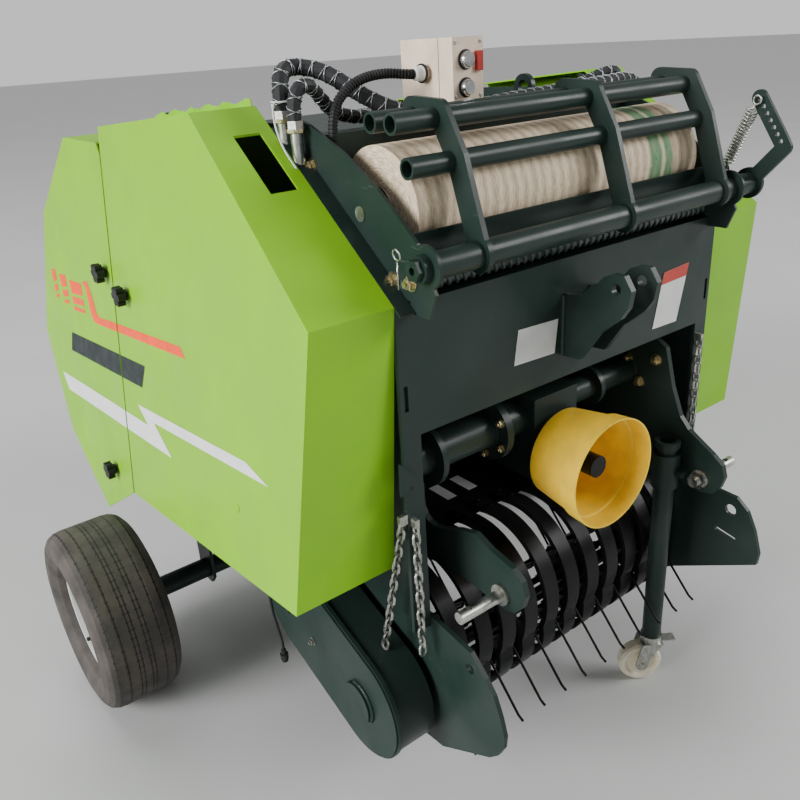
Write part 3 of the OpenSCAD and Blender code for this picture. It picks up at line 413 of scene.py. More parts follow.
def build_painted(looks):
    """The enamels on sheet, tubes, rollers and rims."""
    dark = linear("#0E0F10")
    MATERIALS.update({
        "frame_paint": sprayed_paint("dark_green_grey_enamel", tuple(looks.frame_colour), rough=0.42,
                                     coat=0.06),
        "roller_steel": ribbed_steel("painted_ribbed_steel", linear("#2C3838"), bare=linear("#8A8A86")),
        "green_paint": sprayed_paint("lime_green_enamel", tuple(looks.cover_colour), rough=0.42, coat=0.04,
                                     scratched=0.05),
        "black_paint": sprayed_paint("black_gloss_enamel", dark, rough=0.3, coat=0.02, gloss=0.2),
        "rim_silver": sprayed_paint("silver_wheel_enamel", linear("#DADBD8"), rough=0.36, coat=0.2),
    })


def build_plated():
    """The metals: clear and yellow zinc, hard chrome and thin wire."""
    MATERIALS.update({
        "zinc": plated_steel("clear_zinc_plated_steel", linear("#C4C5C1"), linear("#A9A8A0")),
        "yellow_zinc": plated_steel("yellow_zinc_plated_steel", linear("#D6CBA8"), linear("#C2B48A")),
        "rod_chrome": plated_steel("hard_chromed_rod", linear("#D4D6D6"), linear("#C8CACA"), rough=0.16),
        "guard_grey": plated_steel("thin_grey_guard_wire", linear("#B4B8BA"), linear("#9A9EA0"), rough=0.4),
    })


def build_moulded(looks):
    """Plastics, rubber, films and the net."""
    guard = tuple(looks.guard_colour)
    tyre = tuple(looks.tyre_colour)
    net = tuple(looks.net_colour)
    stripe = tuple(looks.net_stripe_colour)
    MATERIALS.update({
        "guard_yellow": moulded_plastic("moulded_yellow_polyethylene", guard, rough=0.4, bleed=0.4),
        "box_plastic": moulded_plastic("moulded_beige_abs", linear("#F2DDC6"), rough=0.5),
        "black_rubber": moulded_plastic("extruded_black_rubber", linear("#191A1B"), rough=0.6),
        "black_plastic": moulded_plastic("moulded_black_nylon", linear("#17181A"), rough=0.5),
        "hose_rubber": moulded_plastic("wrapped_hose_rubber", linear("#232527"), rough=0.55, grain_mm=4.0),
        "white_nylon": moulded_plastic("moulded_cream_nylon", linear("#EFE7CE"), rough=0.42),
        "red_plastic": moulded_plastic("moulded_red_plastic", linear("#B8322C"), rough=0.4),
        "tie_nylon": moulded_plastic("white_tie_nylon", linear("#E6E7E4"), rough=0.5),
        "orange_film": moulded_plastic("orange_vinyl_film", linear("#FF5020"), rough=0.5),
        "white_film": moulded_plastic("white_vinyl_film", linear("#E8EAE8"), rough=0.35, soil=0.03),
        "dark_film": moulded_plastic("dark_vinyl_film", linear("#1E2729"), rough=0.5, soil=0.02),
        "plate_white": moulded_plastic("white_plate_enamel", linear("#DCDEDB"), rough=0.4, soil=0.04),
        "plate_red": moulded_plastic("red_plate_enamel", linear("#C2453B"), rough=0.4),
        # The tyre's third colour, #171615, is painted shade in the tread's grooves.
        "tyre": tyre_rubber("ribbed_tyre_rubber", linear("#3B3734"), tyre, linear("#171615"),
                            middle_of("tyre_left")),
        # B49C7B is the painted shade tone in the hollows between the net's ridges.
        "net": wound_net("wound_bale_net", net, linear("#B49C7B"), stripe, middle_of("net_roll")),
    })


def finish_solids():
    """Gives every solid the finish that its record names."""
    slots = {entry["node"]: entry["material_slot"] for entry in frame["record"]["subparts"]}
    slots.update({"tyre_left": "tyre", "tyre_right": "tyre", "drive_shaft": "black_plastic"})
    for name, solid in NODES.items():
        key = "hose_rubber" if name.startswith("hoses") else slots[name]
        solid.data.materials.clear()
        solid.data.materials.append(MATERIALS[key])


# Shapes

BOLT_PARTS = ((0, ((0, 0.78), (0.12, 0.78)), 20),
              (0.12, ((0, 0.56), (0.42, 0.56), (0.5, 0.5)), 6),
              (0.6, ((0, 0.3), (0.3, 0.3)), 12))
DOME_STEPS = ((0, 1), (0.5, 0.95), (0.85, 0.7), (1, 0.35))
WELD_STEP = 0.002
WELD_RIPPLE = (-0.08, 0.16)
WELD_ROUGHNESS = 0.06


def circle(centre, axis, side, radius, count):
    """Points round a circle that lies across axis and starts at side."""
    other = axis.cross(side)
    angles = [math.tau * i / count for i in range(count)]
    return [centre + radius * (math.cos(a) * side + math.sin(a) * other) for a in angles]


class Shape:
    """Collects the vertices and faces of one piece, in metres."""

    def __init__(self):
        self.verts = []
        self.faces = []

    def add(self, verts, faces):
        start = len(self.verts)
        self.verts.extend(Vector(v) for v in verts)
        self.faces.extend([tuple(start + i for i in f) for f in faces])

    def prism(self, outline, normal, height):
        """A flat outline of points, raised along its normal."""
        count = len(outline)
        foot = [Vector(p) for p in outline]
        top = [p + Vector(normal) * height for p in foot]
        sides = [(i, (i + 1) % count, count + (i + 1) % count, count + i) for i in range(count)]
        self.add(foot + top, [tuple(range(count - 1, -1, -1)), tuple(range(count, 2 * count))] + sides)

    def skin(self, loops):
        """Joins loops of points, all with the same count, into one surface that is closed at both ends."""
        count = len(loops[0])
        last = (len(loops) - 1) * count
        faces = []
        for start in range(0, last, count):
            for i in range(count):
                ahead = (i + 1) % count
                faces.append((start + i, start + ahead, start + count + ahead, start + count + i))
        faces += [tuple(range(count - 1, -1, -1)), tuple(range(last, last + count))]
        self.add([point for loop in loops for point in loop], faces)

    def rings(self, centre, axis, steps, count=16):
        """A turned form along axis: steps are pairs of reach and radius in metres."""
        axis = Vector(axis).normalized()
        side = axis.orthogonal().normalized()
        centre = Vector(centre)
        self.skin([circle(centre + axis * reach, axis, side, radius, count) for reach, radius in steps])

    def turned(self, centre, axis, steps_mm, count=16):
        """A turned form along axis: steps are pairs of reach and radius in millimetres."""
        self.rings(centre, axis, [(reach / 1000, radius / 1000) for reach, radius in steps_mm], count)

    def bolt(self, centre, axis, size):
        """A washer, a hex head with a chamfered top and a stub, all in shares of the head's width, size."""
        axis = Vector(axis).normalized()
        for start, steps, count in BOLT_PARTS:
            foot = Vector(centre) + axis * size * start
            self.rings(foot, axis, [(size * reach, size * radius) for reach, radius in steps], count)

    def dome(self, centre, axis, radius, height):
        """A round head."""
        self.rings(centre, axis, [(height * reach, radius * share) for reach, share in DOME_STEPS], 14)

    def tube(self, points, radius, count=6):
        """A round tube along points, closed at both ends."""
        last = len(points) - 1
        side = None
        loops = []
        for i, place in enumerate(points):
            heading = (points[min(i + 1, last)] - points[max(i - 1, 0)]).normalized()
            side = heading.orthogonal().normalized() if side is None else side
            side = (side - side.dot(heading) * heading).normalized()
            loops.append(circle(place, heading, side, radius, count))
        self.skin(loops)

    def weld(self, points, radius, seed):
        """A weld bead along points: a tube whose radius ripples every 4 mm."""
        rng = random.Random(seed)
        side = None
        loops = []
        for i, (place, heading) in enumerate(walk(points, WELD_STEP)):
            side = heading.orthogonal() if side is None else side - side.dot(heading) * heading
            side.normalize()
            ripple = 1.0 + WELD_RIPPLE[i % 2] + rng.uniform(-WELD_ROUGHNESS, WELD_ROUGHNESS)
            loops.append(circle(place, heading, side, radius * ripple, 8))
        self.skin(loops)

    def mesh_object(self, name, key, smooth=False):
        mesh = bpy.data.meshes.new(name)
        mesh.from_pydata([tuple(v) for v in self.verts], [], self.faces)
        mesh.materials.append(MATERIALS[key])
        mesh.polygons.foreach_set("use_smooth", [smooth] * len(mesh.polygons))
        mesh.update()
        piece = bpy.data.objects.new(name, mesh)
        bpy.context.scene.collection.objects.link(piece)
        return piece

    def piece(self, name, key, body, smooth=False):
        """Makes the mesh object, which rides on a body."""
        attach(self.mesh_object(name, key, smooth), body)


def walk(points, step):
    """Places every step along a route, each with its heading."""
    made = []
    left = 0.0
    for one, two in zip(points, points[1:]):
        span = (two - one).length
        heading = (two - one) / span
        while left < span:
            made.append((one + heading * left, heading))
            left += step
        left -= span
    return made


def helix(points, radius, pitch, turn=1, start=0.0, per_turn=12):
    """Points of a wire wound round a route."""
    made = []
    side = None
    for i, (place, heading) in enumerate(walk(points, pitch / per_turn)):
        side = heading.orthogonal() if side is None else side - side.dot(heading) * heading
        side.normalize()
        angle = start + turn * math.tau * i / per_turn
        made.append(place + radius * (math.cos(angle) * side + math.sin(angle) * heading.cross(side)))
    return made


def ring(centre, axis, radius, count=36):
    """Points round a circle, with the first point again at the end."""
    axis = Vector(axis).normalized()
    points = circle(centre, axis, axis.orthogonal().normalized(), radius, count)
    return points + points[:1]


# Stripes on the left covers

COVER_X = 561
COVER_LEAN = 0.1045
COVER_X_HEIGHT = 1080
COVER_OUT = Vector((-1, 0, COVER_LEAN)).normalized()
SPLIT_Y = 800
SPLIT_HALF = 4
FILM_THICK = 0.0003
ORANGE_LINE = ((1020, 962), (984, 970), (954, 938), (936, 905), (917, 898), (860, 905), (457, 945),
               (436, 927), (877, 885), (935, 879), (960, 880), (975, 893), (999, 951))
DARK_BAND = ((1155, 808), (651, 854), (678, 799), (1175, 755))
WHITE_BOLT = ((1288, 667), (662, 719), (714, 750), (210, 805),
              (131, 790), (628, 736), (542, 687), (1245, 627))
BLOCK_COLUMNS = ((1125, 1033), (1206, 1155), (1276, 1240))
BLOCK_BANDS = ((948, 917), (910, 893), (886, 876))
BLOCK_LEAN = 0.3
BLOCK_NEAR_LEAN = 0.5
BLOCK_TOP_RISE = 7
BLOCK_LOW_RISE = 9


def cover_x(z):
    """How far the covers' outer faces stand from the middle at a height; they lean in towards the top."""
    return COVER_X - COVER_LEAN * (z - COVER_X_HEIGHT)


def on_cover(y, z, lift=0.4):
    """A point just off the left cover's outer face."""
    return at(-cover_x(z) - lift, y, z)


def clipped(outline, keep_front):
    """The part of a flat outline on one side of the gap between the front and rear covers."""
    edge = SPLIT_Y - SPLIT_HALF if keep_front else SPLIT_Y + SPLIT_HALF
    kept = []
    for one, two in zip(outline, outline[1:] + outline[:1]):
        one_in = one[0] <= edge if keep_front else one[0] >= edge
        two_in = two[0] <= edge if keep_front else two[0] >= edge
        if one_in:
            kept.append(one)
        if one_in != two_in:
            share = (edge - one[0]) / (two[0] - one[0])
            kept.append((edge, one[1] + share * (two[1] - one[1])))
    return kept


def orange_blocks():
    """Slanted orange blocks in columns, each lower one further forward; a column gives its two Y edges."""
    made = []
    for far, near in BLOCK_COLUMNS:
        for top, low in BLOCK_BANDS:
            slip = BLOCK_LEAN * (BLOCK_BANDS[0][0] - top)
            drop = BLOCK_LEAN * (BLOCK_BANDS[0][0] - low)
            made.append(((far - slip, top), (near - slip * BLOCK_NEAR_LEAN, top + BLOCK_TOP_RISE),
                         (near - drop * BLOCK_NEAR_LEAN, low + BLOCK_LOW_RISE), (far - drop, low)))
    return made


def make_stripes():
    films = [(DARK_BAND, "dark_film"), (WHITE_BOLT, "white_film"), (ORANGE_LINE, "orange_film")]
    films += [(block, "orange_film") for block in orange_blocks()]
    groups = {}
    for outline, key in films:
        for keep_front, body in ((True, "frame"), (False, "tailgate")):
            part = clipped(outline, keep_front)
            if len(part) > 2:
                points = [on_cover(y, z) for y, z in part]
                groups.setdefault((key, body), Shape()).prism(points, COVER_OUT, FILM_THICK)
    for (key, body), shape in groups.items():
        shape.piece(f"{key}_{body}", key, body)


# Blank plates and a tab on the front panel, and light strips on the pickup's floor

PLATE_THICK = 0.0004
WIDE_PLATE = ((-153, 978), (-54, 974), (-62, 911), (-163, 915))
TALL_PLATE = ((224, 882), (302, 880), (330, 998), (249, 993))
RED_BAND = ((243, 969), (323, 972), (330, 998), (249, 993))
POST_TAB = ((-423, 821), (-392, 787), (-390, 757), (-425, 762))
TAB_THICK = 0.005
# Place of a black disc that paints the shade in the tab's hole, in millimetres.
TAB_HOLE_SHADE = (-402, -5.3, 770)
STRIP_MIDDLES = (-88, -26)
STRIP_HALF = 13
STRIP_FRONT = 268
STRIP_REAR = 336
FLOOR_TOP = 500.3


def on_panel(points, lift=0.6):
    return [at(x, -lift, z) for x, z in points]


def make_plates():
    plate = Shape()
    plate.prism(on_panel(WIDE_PLATE), FORWARD, PLATE_THICK)
    plate.prism(on_panel(TALL_PLATE), FORWARD, PLATE_THICK)
    plate.piece("blank_plates", "plate_white", "frame")
    band = Shape()
    band.prism(on_panel(RED_BAND, 1.1), FORWARD, FILM_THICK)
    band.piece("plate_band", "plate_red", "frame")
    strips = Shape()
    for x in STRIP_MIDDLES:
        corners = ((x - STRIP_HALF, STRIP_FRONT), (x + STRIP_HALF, STRIP_FRONT),
                   (x + STRIP_HALF, STRIP_REAR), (x - STRIP_HALF, STRIP_REAR))
        strips.prism([at(*corner, FLOOR_TOP) for corner in corners], UPWARD, FILM_THICK)
    strips.piece("floor_strips", "white_film", "frame")
    tab = Shape()
    tab.prism(on_panel(POST_TAB, 0.2), FORWARD, TAB_THICK)
    tab.piece("post_tab", "frame_paint", "frame")
    # A black disc on the tab's face paints the shade in the tab's hole.
    hole_shade = Shape()
    hole_shade.turned(at(*TAB_HOLE_SHADE), FORWARD, [(0, 4), (0.3, 4)])
    hole_shade.piece("tab_hole_shade", "black_rubber", "frame")


# Bolts, nuts and fittings

CRADLE_BOLTS = ((-382.2, 36, 1110), (-382.2, -8, 1113), (-382.2, 240, 1262))
ARM_BOLTS = ((282.8, 98, 779), (282.8, 24, 793), (282.8, 64, 732))
CROSS_TUBE_Y = 100
CROSS_TUBE_Z = 752
FLANGE_X = -142.2
FLANGE_BOLT_REACH = 52
FLANGE_BOLT_COUNT = 6
FLANGE_BOLT_START = 30
FLANGE_BOLT_SHARE = 0.75
HOSE_FITTINGS = ((-400, 288, 1329), (398, 206, 1264), (-400, 250, 1315), (398, 256, 1303))
FITTING_NUT = ((0, 14.5), (1, 15.2), (6, 15.2), (7, 14.5))
CASE_BOLT = (-480.2, 262, 323)
CASE_BOLT_SHARE = 0.7
TINE_PITCH = 62.8
BAND_COUNT = 11
BAND_HEAD_RADIUS = 0.0065
BAND_HEAD_RISE = 0.0045
BAND_HEAD_ROWS = ((214, 508.2, (0, 0, 1)), (174, 513.2, (0, 0.19, 0.98)))
BAR_CLIP_X = -431
BAR_CLIP_Y = -40
BAR_CLIP_Z = 1170
BAR_CLIP_LEG = (1162, 1120)
BAR_CLIP_EYE = 0.008
BAR_CLIP_WIRE = 0.0012


def make_fasteners(size):
    yellow = Shape()
    for place in CRADLE_BOLTS + ARM_BOLTS:
        yellow.bolt(at(*place), LEFTWARD, size)
    for i in range(FLANGE_BOLT_COUNT):
        angle = math.radians(FLANGE_BOLT_START + 360 / FLANGE_BOLT_COUNT * i)
        y = CROSS_TUBE_Y + FLANGE_BOLT_REACH * math.cos(angle)
        z = CROSS_TUBE_Z + FLANGE_BOLT_REACH * math.sin(angle)
        yellow.bolt(at(FLANGE_X, y, z), LEFTWARD, size * FLANGE_BOLT_SHARE)
    for place in HOSE_FITTINGS:
        yellow.turned(at(*place), UPWARD, FITTING_NUT, 6)
    yellow.piece("yellow_bolts", "yellow_zinc", "frame")
    single = Shape()
    single.bolt(at(*CASE_BOLT), LEFTWARD, size * CASE_BOLT_SHARE)
    single.piece("case_bolt", "zinc", "frame")
    heads = Shape()
    for i in range(BAND_COUNT):
        x = (i - (BAND_COUNT - 1) / 2) * TINE_PITCH
        for y, z, lean in BAND_HEAD_ROWS:
            heads.dome(at(x, y, z), lean, BAND_HEAD_RADIUS, BAND_HEAD_RISE)
    heads.piece("band_bolts", "black_paint", "frame", smooth=True)
    clip = Shape()
    clip.tube(ring(at(BAR_CLIP_X, BAR_CLIP_Y, BAR_CLIP_Z), (1, 0, 0.2), BAR_CLIP_EYE), BAR_CLIP_WIRE)
    clip.tube([at(BAR_CLIP_X, BAR_CLIP_Y, z) for z in BAR_CLIP_LEG], BAR_CLIP_WIRE)
    clip.piece("gate_bar_clip", "zinc", "net_gate", smooth=True)


VALVE_X = 763
VALVE_Y = 837
VALVE_Z = 130
VALVE_STEM = ((0, 7.5), (6, 5.5), (26, 4.2), (27, 5.2), (38, 5.2), (40, 4))


def make_valves():
    """Black valve stems in the wheels' dishes."""
    for side, body in ((-1, "wheel_left"), (1, "wheel_right")):
        valve = Shape()
        valve.turned(at(side * VALVE_X, VALVE_Y, VALVE_Z), (side, -0.15, 0.35), VALVE_STEM, 14)
        valve.piece(f"valve_{body}", "black_rubber", body)


# Control box: bezels, lid screws, lamp and gland

BOX_FRONT = 129.9
BUTTON_X = -143
BUTTON_HEIGHTS = (1364, 1406)
BEZEL = ((2, 13.5), (5.5, 13.5), (6.5, 12.5), (10.2, 11.5), (11, 10.5))
BUTTON_SEAL = ((0, 15.5), (2, 15.5), (2.6, 14.5))
SCREW_PLACES = ((-164, 1350), (-164, 1432), (-110, 1350), (-110, 1432))
SCREW_HEAD = ((0, 3.2), (0.8, 3.2), (1.2, 2.4))
LAMP = ((-122, 1388), (-109, 1388), (-109, 1418), (-122, 1418))
LAMP_DEPTH = 0.006
GLAND_X = -178.2
SEAL_X = -178.1
GLAND_Y = 198
GLAND_Z = 1388
GLAND_BODY = ((0, 12.5), (4, 12.5), (4.5, 11.5), (16, 10.5), (19, 8.5))
GLAND_SEAL = ((0, 15.5), (2.5, 15.5))


def make_box_trim():
    bezels = Shape()
    seals = Shape()
    for z in BUTTON_HEIGHTS:
        bezels.turned(at(BUTTON_X, BOX_FRONT, z), FORWARD, BEZEL, 28)
        seals.turned(at(BUTTON_X, BOX_FRONT, z), FORWARD, BUTTON_SEAL, 28)
    bezels.piece("button_bezels", "rod_chrome", "frame")
    seals.piece("button_seals", "black_rubber", "frame")
    screws = Shape()
    for x, z in SCREW_PLACES:
        screws.turned(at(x, BOX_FRONT, z), FORWARD, SCREW_HEAD, 12)
    screws.piece("lid_screws", "zinc", "frame")
    lamp = Shape()
    lamp.prism([at(x, BOX_FRONT, z) for x, z in LAMP], FORWARD, LAMP_DEPTH)
    lamp.piece("box_lamp", "red_plastic", "frame")
    gland = Shape()
    gland.turned(at(GLAND_X, GLAND_Y, GLAND_Z), LEFTWARD, GLAND_BODY, 24)
    gland.piece("gland_body", "white_film", "frame")
    seal = Shape()
    seal.turned(at(SEAL_X, GLAND_Y, GLAND_Z), LEFTWARD, GLAND_SEAL, 24)
    seal.piece("gland_seal", "black_rubber", "frame")


# Front knobs: the low pair ends in plain green heads flush with the covers

LOW_KNOB_TOP = 0.8
LOW_STUD_Y = 250
LOW_STUD_Z = 700
STUD_FOOT_X = 390
STUD_RADIUS = 11
NECK_RADIUS = 6
NECK_LENGTH = 8
LOW_HEAD_RADIUS = 0.0085
LOW_HEAD_RISE = 0.0022


def make_front_knobs():
    source = NODES["knobs_front"]
    mesh = source.data.copy()
    work = bmesh.new()
    work.from_mesh(mesh)
    low = [v for v in work.verts if (source.matrix_world @ v.co).z < LOW_KNOB_TOP]
    bmesh.ops.delete(work, geom=low, context="VERTS")
    work.to_mesh(mesh)
    work.free()
    knobs = bpy.data.objects.new("front_knobs", mesh)
    knobs.matrix_world = source.matrix_world
    bpy.context.scene.collection.objects.link(knobs)
    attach(knobs, "frame")
    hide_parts("knobs_front")
    studs = Shape()
    heads = Shape()
    outer = cover_x(LOW_STUD_Z)
    length = outer - STUD_FOOT_X
    shoulder = length - NECK_LENGTH
    stud = ((0, STUD_RADIUS), (shoulder, STUD_RADIUS), (shoulder, NECK_RADIUS), (length, NECK_RADIUS))
    for side in (-1, 1):
        studs.turned(at(side * STUD_FOOT_X, LOW_STUD_Y, LOW_STUD_Z), (side, 0, 0), stud, 24)
        heads.dome(at(side * outer, LOW_STUD_Y, LOW_STUD_Z), (side, 0, COVER_LEAN),
                   LOW_HEAD_RADIUS, LOW_HEAD_RISE)
    studs.piece("low_studs", "black_paint", "frame")
    heads.piece("low_stud_heads", "green_paint", "frame", smooth=True)


# Hose lattice, conduit ribs and cable tie; the routes are those of the solids

HOSE_POINTS = ((-400, 288, 1348.3), (-400, 288, 1375), (-384, 306, 1408), (-352, 312, 1412),
               (-318, 280, 1402), (-285, 225, 1362), (-245, 190, 1336), (-190, 183, 1326),
               (-120, 182, 1323), (0, 184, 1330), (140, 185, 1335), (290, 190, 1340),
               (356, 198, 1342), (398, 206, 1330), (398, 206, 1283.3))
HOSE_BACK_POINTS = ((-400, 250, 1334.3), (-400, 250, 1356), (-392, 248, 1382), (-366, 252, 1386),
                    (-338, 268, 1362), (-304, 286, 1336), (-250, 292, 1322), (-120, 292, 1318),
                    (0, 294, 1316), (160, 292, 1320), (300, 286, 1330), (364, 268, 1352),
                    (398, 256, 1356), (398, 256, 1322.3))
CONDUIT_POINTS = ((-182.3, 198, 1388), (-205, 198, 1388), (-250, 211, 1394), (-300, 214, 1387),
                  (-342, 210, 1362), (-359, 205, 1330), (-362, 202, 1290), (-362, 202, 1255.3))
TIE_PLACE = (-400, 288, 1362)
TIE_REACH = 0.0152
TIE_RADIUS = 0.0016
TIE_TAIL_RADIUS = 0.0017
TIE_HEAD_PLACE = (-421, 277, 1360)
TIE_HEAD = ((0, 3.2), (6, 3.2))
TIE_POINTS = ((-414, 282, 1362), (-424, 276, 1352), (-428, 264, 1320), (-424, 250, 1288), (-414, 236, 1262))
WIRE_REACHES = ((HOSE_POINTS, 0.0138), (HOSE_BACK_POINTS, 0.0118))
WIRE_RADIUS = 0.0009
RIB_PITCH = 0.0055
RIB = ((0, 7.2), (0.7, 8.3), (2.1, 8.3), (2.8, 7.2))
RIB_HALF = 0.0014


def make_hose_trim(pitch):
    """Crossed wires round the hoses, ribs of the conduit and the tie."""
    guard = Shape()
    for points, reach in WIRE_REACHES:
        route = rounded(points)
        for turn, start in ((1, 0.0), (-1, 1.0)):
            guard.tube(helix(route, reach, pitch, turn, start, 10), WIRE_RADIUS, 4)
    guard.piece("hose_lattice", "guard_grey", "frame", smooth=True)
    ribs = Shape()
    for place, heading in walk(rounded(CONDUIT_POINTS), RIB_PITCH)[2:]:
        ribs.turned(place - heading * RIB_HALF, heading, RIB, 12)
    ribs.piece("conduit_ribs", "black_rubber", "frame")
    tie = Shape()
    tie.tube(ring(at(*TIE_PLACE), UPWARD, TIE_REACH, 24), TIE_RADIUS)
    tie.tube(rounded(TIE_POINTS), TIE_TAIL_RADIUS)
    tie.turned(at(*TIE_HEAD_PLACE), DOWNWARD, TIE_HEAD, 8)
    tie.piece("cable_tie", "tie_nylon", "frame", smooth=True)


ROLLER_HALF = 372
ROLLER_Y = 18
ROLLER_Z = 1105
ROLLER_STEPS = 60
ROPE_COUNT = 3
ROPE_REACH = 0.0162
ROPE_RADIUS = 0.0042


def make_roller_ropes(pitch):
    """Ribs wound like rope round the net's feed roller."""
    rope = Shape()
    axis = [at(-ROLLER_HALF + 2 * ROLLER_HALF * i / ROLLER_STEPS, ROLLER_Y, ROLLER_Z)
            for i in range(ROLLER_STEPS + 1)]
    for start in range(ROPE_COUNT):
        rope.tube(helix(axis, ROPE_REACH, pitch, 1, start * math.tau / ROPE_COUNT, 18), ROPE_RADIUS)
    rope.piece("feed_roller_ropes", "roller_steel", "feed_roller", smooth=True)


# Brake spring: a coil between two hooks, in place of the plain rod

SPRING_FOOT = at(437, 6, 1168)
SPRING_TOP = at(437, -46, 1297)
COIL_START = 0.012
COIL_SHORTER = 0.032
COIL_STEPS = 40
COIL_RADIUS = 0.0105
COIL_PITCH = 0.0062
COIL_WIRE = 0.0019
HOOK_RADIUS = 0.0078
HOOK_WIRE = 0.0017
FOOT_LEAD = (0.004, 0.009)
TOP_LEAD = (0.016, 0.006)


def make_spring():
    span = SPRING_TOP - SPRING_FOOT
    along = span.normalized()
    axis = [SPRING_FOOT + along * (COIL_START + (span.length - COIL_SHORTER) * i / COIL_STEPS)
            for i in range(COIL_STEPS + 1)]
    route = [SPRING_FOOT + along * reach for reach in FOOT_LEAD]
    route += helix(axis, COIL_RADIUS, COIL_PITCH, 1, 0.0, 16)
    route += [SPRING_TOP - along * reach for reach in TOP_LEAD]
    coil = Shape()
    coil.tube(route, COIL_WIRE)
    for end in (SPRING_FOOT, SPRING_TOP):
        coil.tube(ring(end, RIGHTWARD, HOOK_RADIUS, 20), HOOK_WIRE)
    piece = coil.mesh_object("spring_coil", "zinc", smooth=True)
    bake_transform(piece)
    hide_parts("brake_spring")


# Pickup reel: clips over the tine coils and bent tips on the tines

REEL_Y = 100
REEL_Z = 283
TINE_ROWS = 4
TINES_IN_ROW = 12
BAR_REACH = 72
BAR_ANGLE = 154.4
TIP_REACH = 186
TIP_ANGLE = 205.5
TIP_BEND = math.radians(-22)
TIP_RADIUS = 0.00275
TIP_SUNK = 0.002
TIP_STEPS = ((0, 0), (0.003, 0), (0.004, 0.002), (0.004, 0.014))
CLIP_RISE = 0.0115
CLIP_HALF_X = 0.0085
CLIP_HALF_ROUND = 0.006
CLIP_THICK = 0.002


def on_reel(reach, degrees):
    """A point in the reel's middle plane, at a reach from its axis, turned by degrees from the rear."""
    angle = math.radians(degrees)
    return at(0, REEL_Y + reach * math.cos(angle), REEL_Z + reach * math.sin(angle))


def make_reel_trim():
    clips = Shape()
    tips = Shape()
    for row in range(TINE_ROWS):
        foot = on_reel(BAR_REACH, BAR_ANGLE + 90 * row)
        tip = on_reel(TIP_REACH, TIP_ANGLE + 90 * row)
        ahead = (tip - foot).normalized()
        bent = Matrix.Rotation(TIP_BEND, 3, "X") @ ahead
        radial = (foot - on_reel(0, 0)).normalized()
        half_x = Vector((CLIP_HALF_X, 0, 0))
        half_round = RIGHTWARD.cross(radial) * CLIP_HALF_ROUND
        for i in range(TINES_IN_ROW):
            shift = Vector(((i - (TINES_IN_ROW - 1) / 2) * TINE_PITCH / 1000, 0, 0))
            centre = foot + shift + radial * CLIP_RISE
            clips.prism([centre - half_x - half_round, centre + half_x - half_round,
                         centre + half_x + half_round, centre - half_x + half_round], radial, CLIP_THICK)
            start = tip + shift - ahead * TIP_SUNK
            tips.tube([start + ahead * straight + bent * turned for straight, turned in TIP_STEPS],
                      TIP_RADIUS, 8)
    clips.piece("tine_clips", "zinc", "reel")
    tips.piece("tine_tips", "black_paint", "reel", smooth=True)


# Welds on the top-link ears, the cross tube and the drive case's hub

EAR_SIDES = (-41, -27, 27, 41)
EAR_Y = -0.5
EAR_FOOT = 903
EAR_TOP = 1016
THICK_WELD = 0.0045
THIN_WELD = 0.0024
TUBE_ENDS = ((-282.5, 0.0365), (282.5, 0.0265), (-142.5, 0.0365), (-125.5, 0.0365))
HUB_X = -481
HUB_RADIUS = 43
HUB_WELD_FROM = 75
HUB_WELD_SWEEP = 140
HUB_WELD_STEPS = 20


def make_welds():
    bead = Shape()
    for i, x in enumerate(EAR_SIDES):
        bead.weld([at(x, EAR_Y, EAR_FOOT), at(x, EAR_Y, EAR_TOP)], THICK_WELD, seed=3 + i)
    for x, reach in TUBE_ENDS:
        end = ring(at(x, CROSS_TUBE_Y, CROSS_TUBE_Z), RIGHTWARD, reach, 40)
        bead.weld(end, THIN_WELD, seed=int(x) + 400)
    angles = [math.radians(HUB_WELD_FROM + HUB_WELD_SWEEP * i / HUB_WELD_STEPS)
              for i in range(HUB_WELD_STEPS + 1)]
    hub = [at(HUB_X, REEL_Y + HUB_RADIUS * math.cos(a), REEL_Z + HUB_RADIUS * math.sin(a)) for a in angles]
    bead.weld(hub, THICK_WELD, seed=11)
    bead.piece("weld_beads", "frame_paint", "frame", smooth=True)


# Cover lip: the wavy edge along the left cover's top

LIP_X = -414
LIP_THICK = 1.2
LIP_FRONT = 362
LIP_LENGTH = 432
LIP_COUNT = 40
LIP_RISE = 11
LIP_SWING = 3
LIP_WAVE = 2.5
LIP_SUNK = 2
LIP_RISE_TURN = 0.9
LIP_LEAN_TURN = 0.55
TOP_EDGE_Y = 355
TOP_EDGE_Z = 1355
TOP_EDGE_FALL = 38
TOP_EDGE_LENGTH = 442


def make_cover_lip():
    rng = random.Random(7)
    loops = []
    for i in range(LIP_COUNT + 1):
        y = LIP_FRONT + LIP_LENGTH * i / LIP_COUNT
        z = TOP_EDGE_Z - TOP_EDGE_FALL * (y - TOP_EDGE_Y) / TOP_EDGE_LENGTH
        wave = rng.uniform(-LIP_WAVE, LIP_WAVE)
        rise = LIP_RISE + LIP_SWING * math.sin(i * LIP_RISE_TURN) + wave * 0.6
        lean = LIP_SWING * math.sin(i * LIP_LEAN_TURN) + wave * 0.5
        foot = z - LIP_SUNK
        loops.append((at(LIP_X, y, foot), at(LIP_X + lean, y, z + rise),
                      at(LIP_X - LIP_THICK + lean, y, z + rise), at(LIP_X - LIP_THICK, y, foot)))
    lip = Shape()
    lip.skin(loops)
    lip.piece("cover_lip", "green_paint", "frame")


# Stage

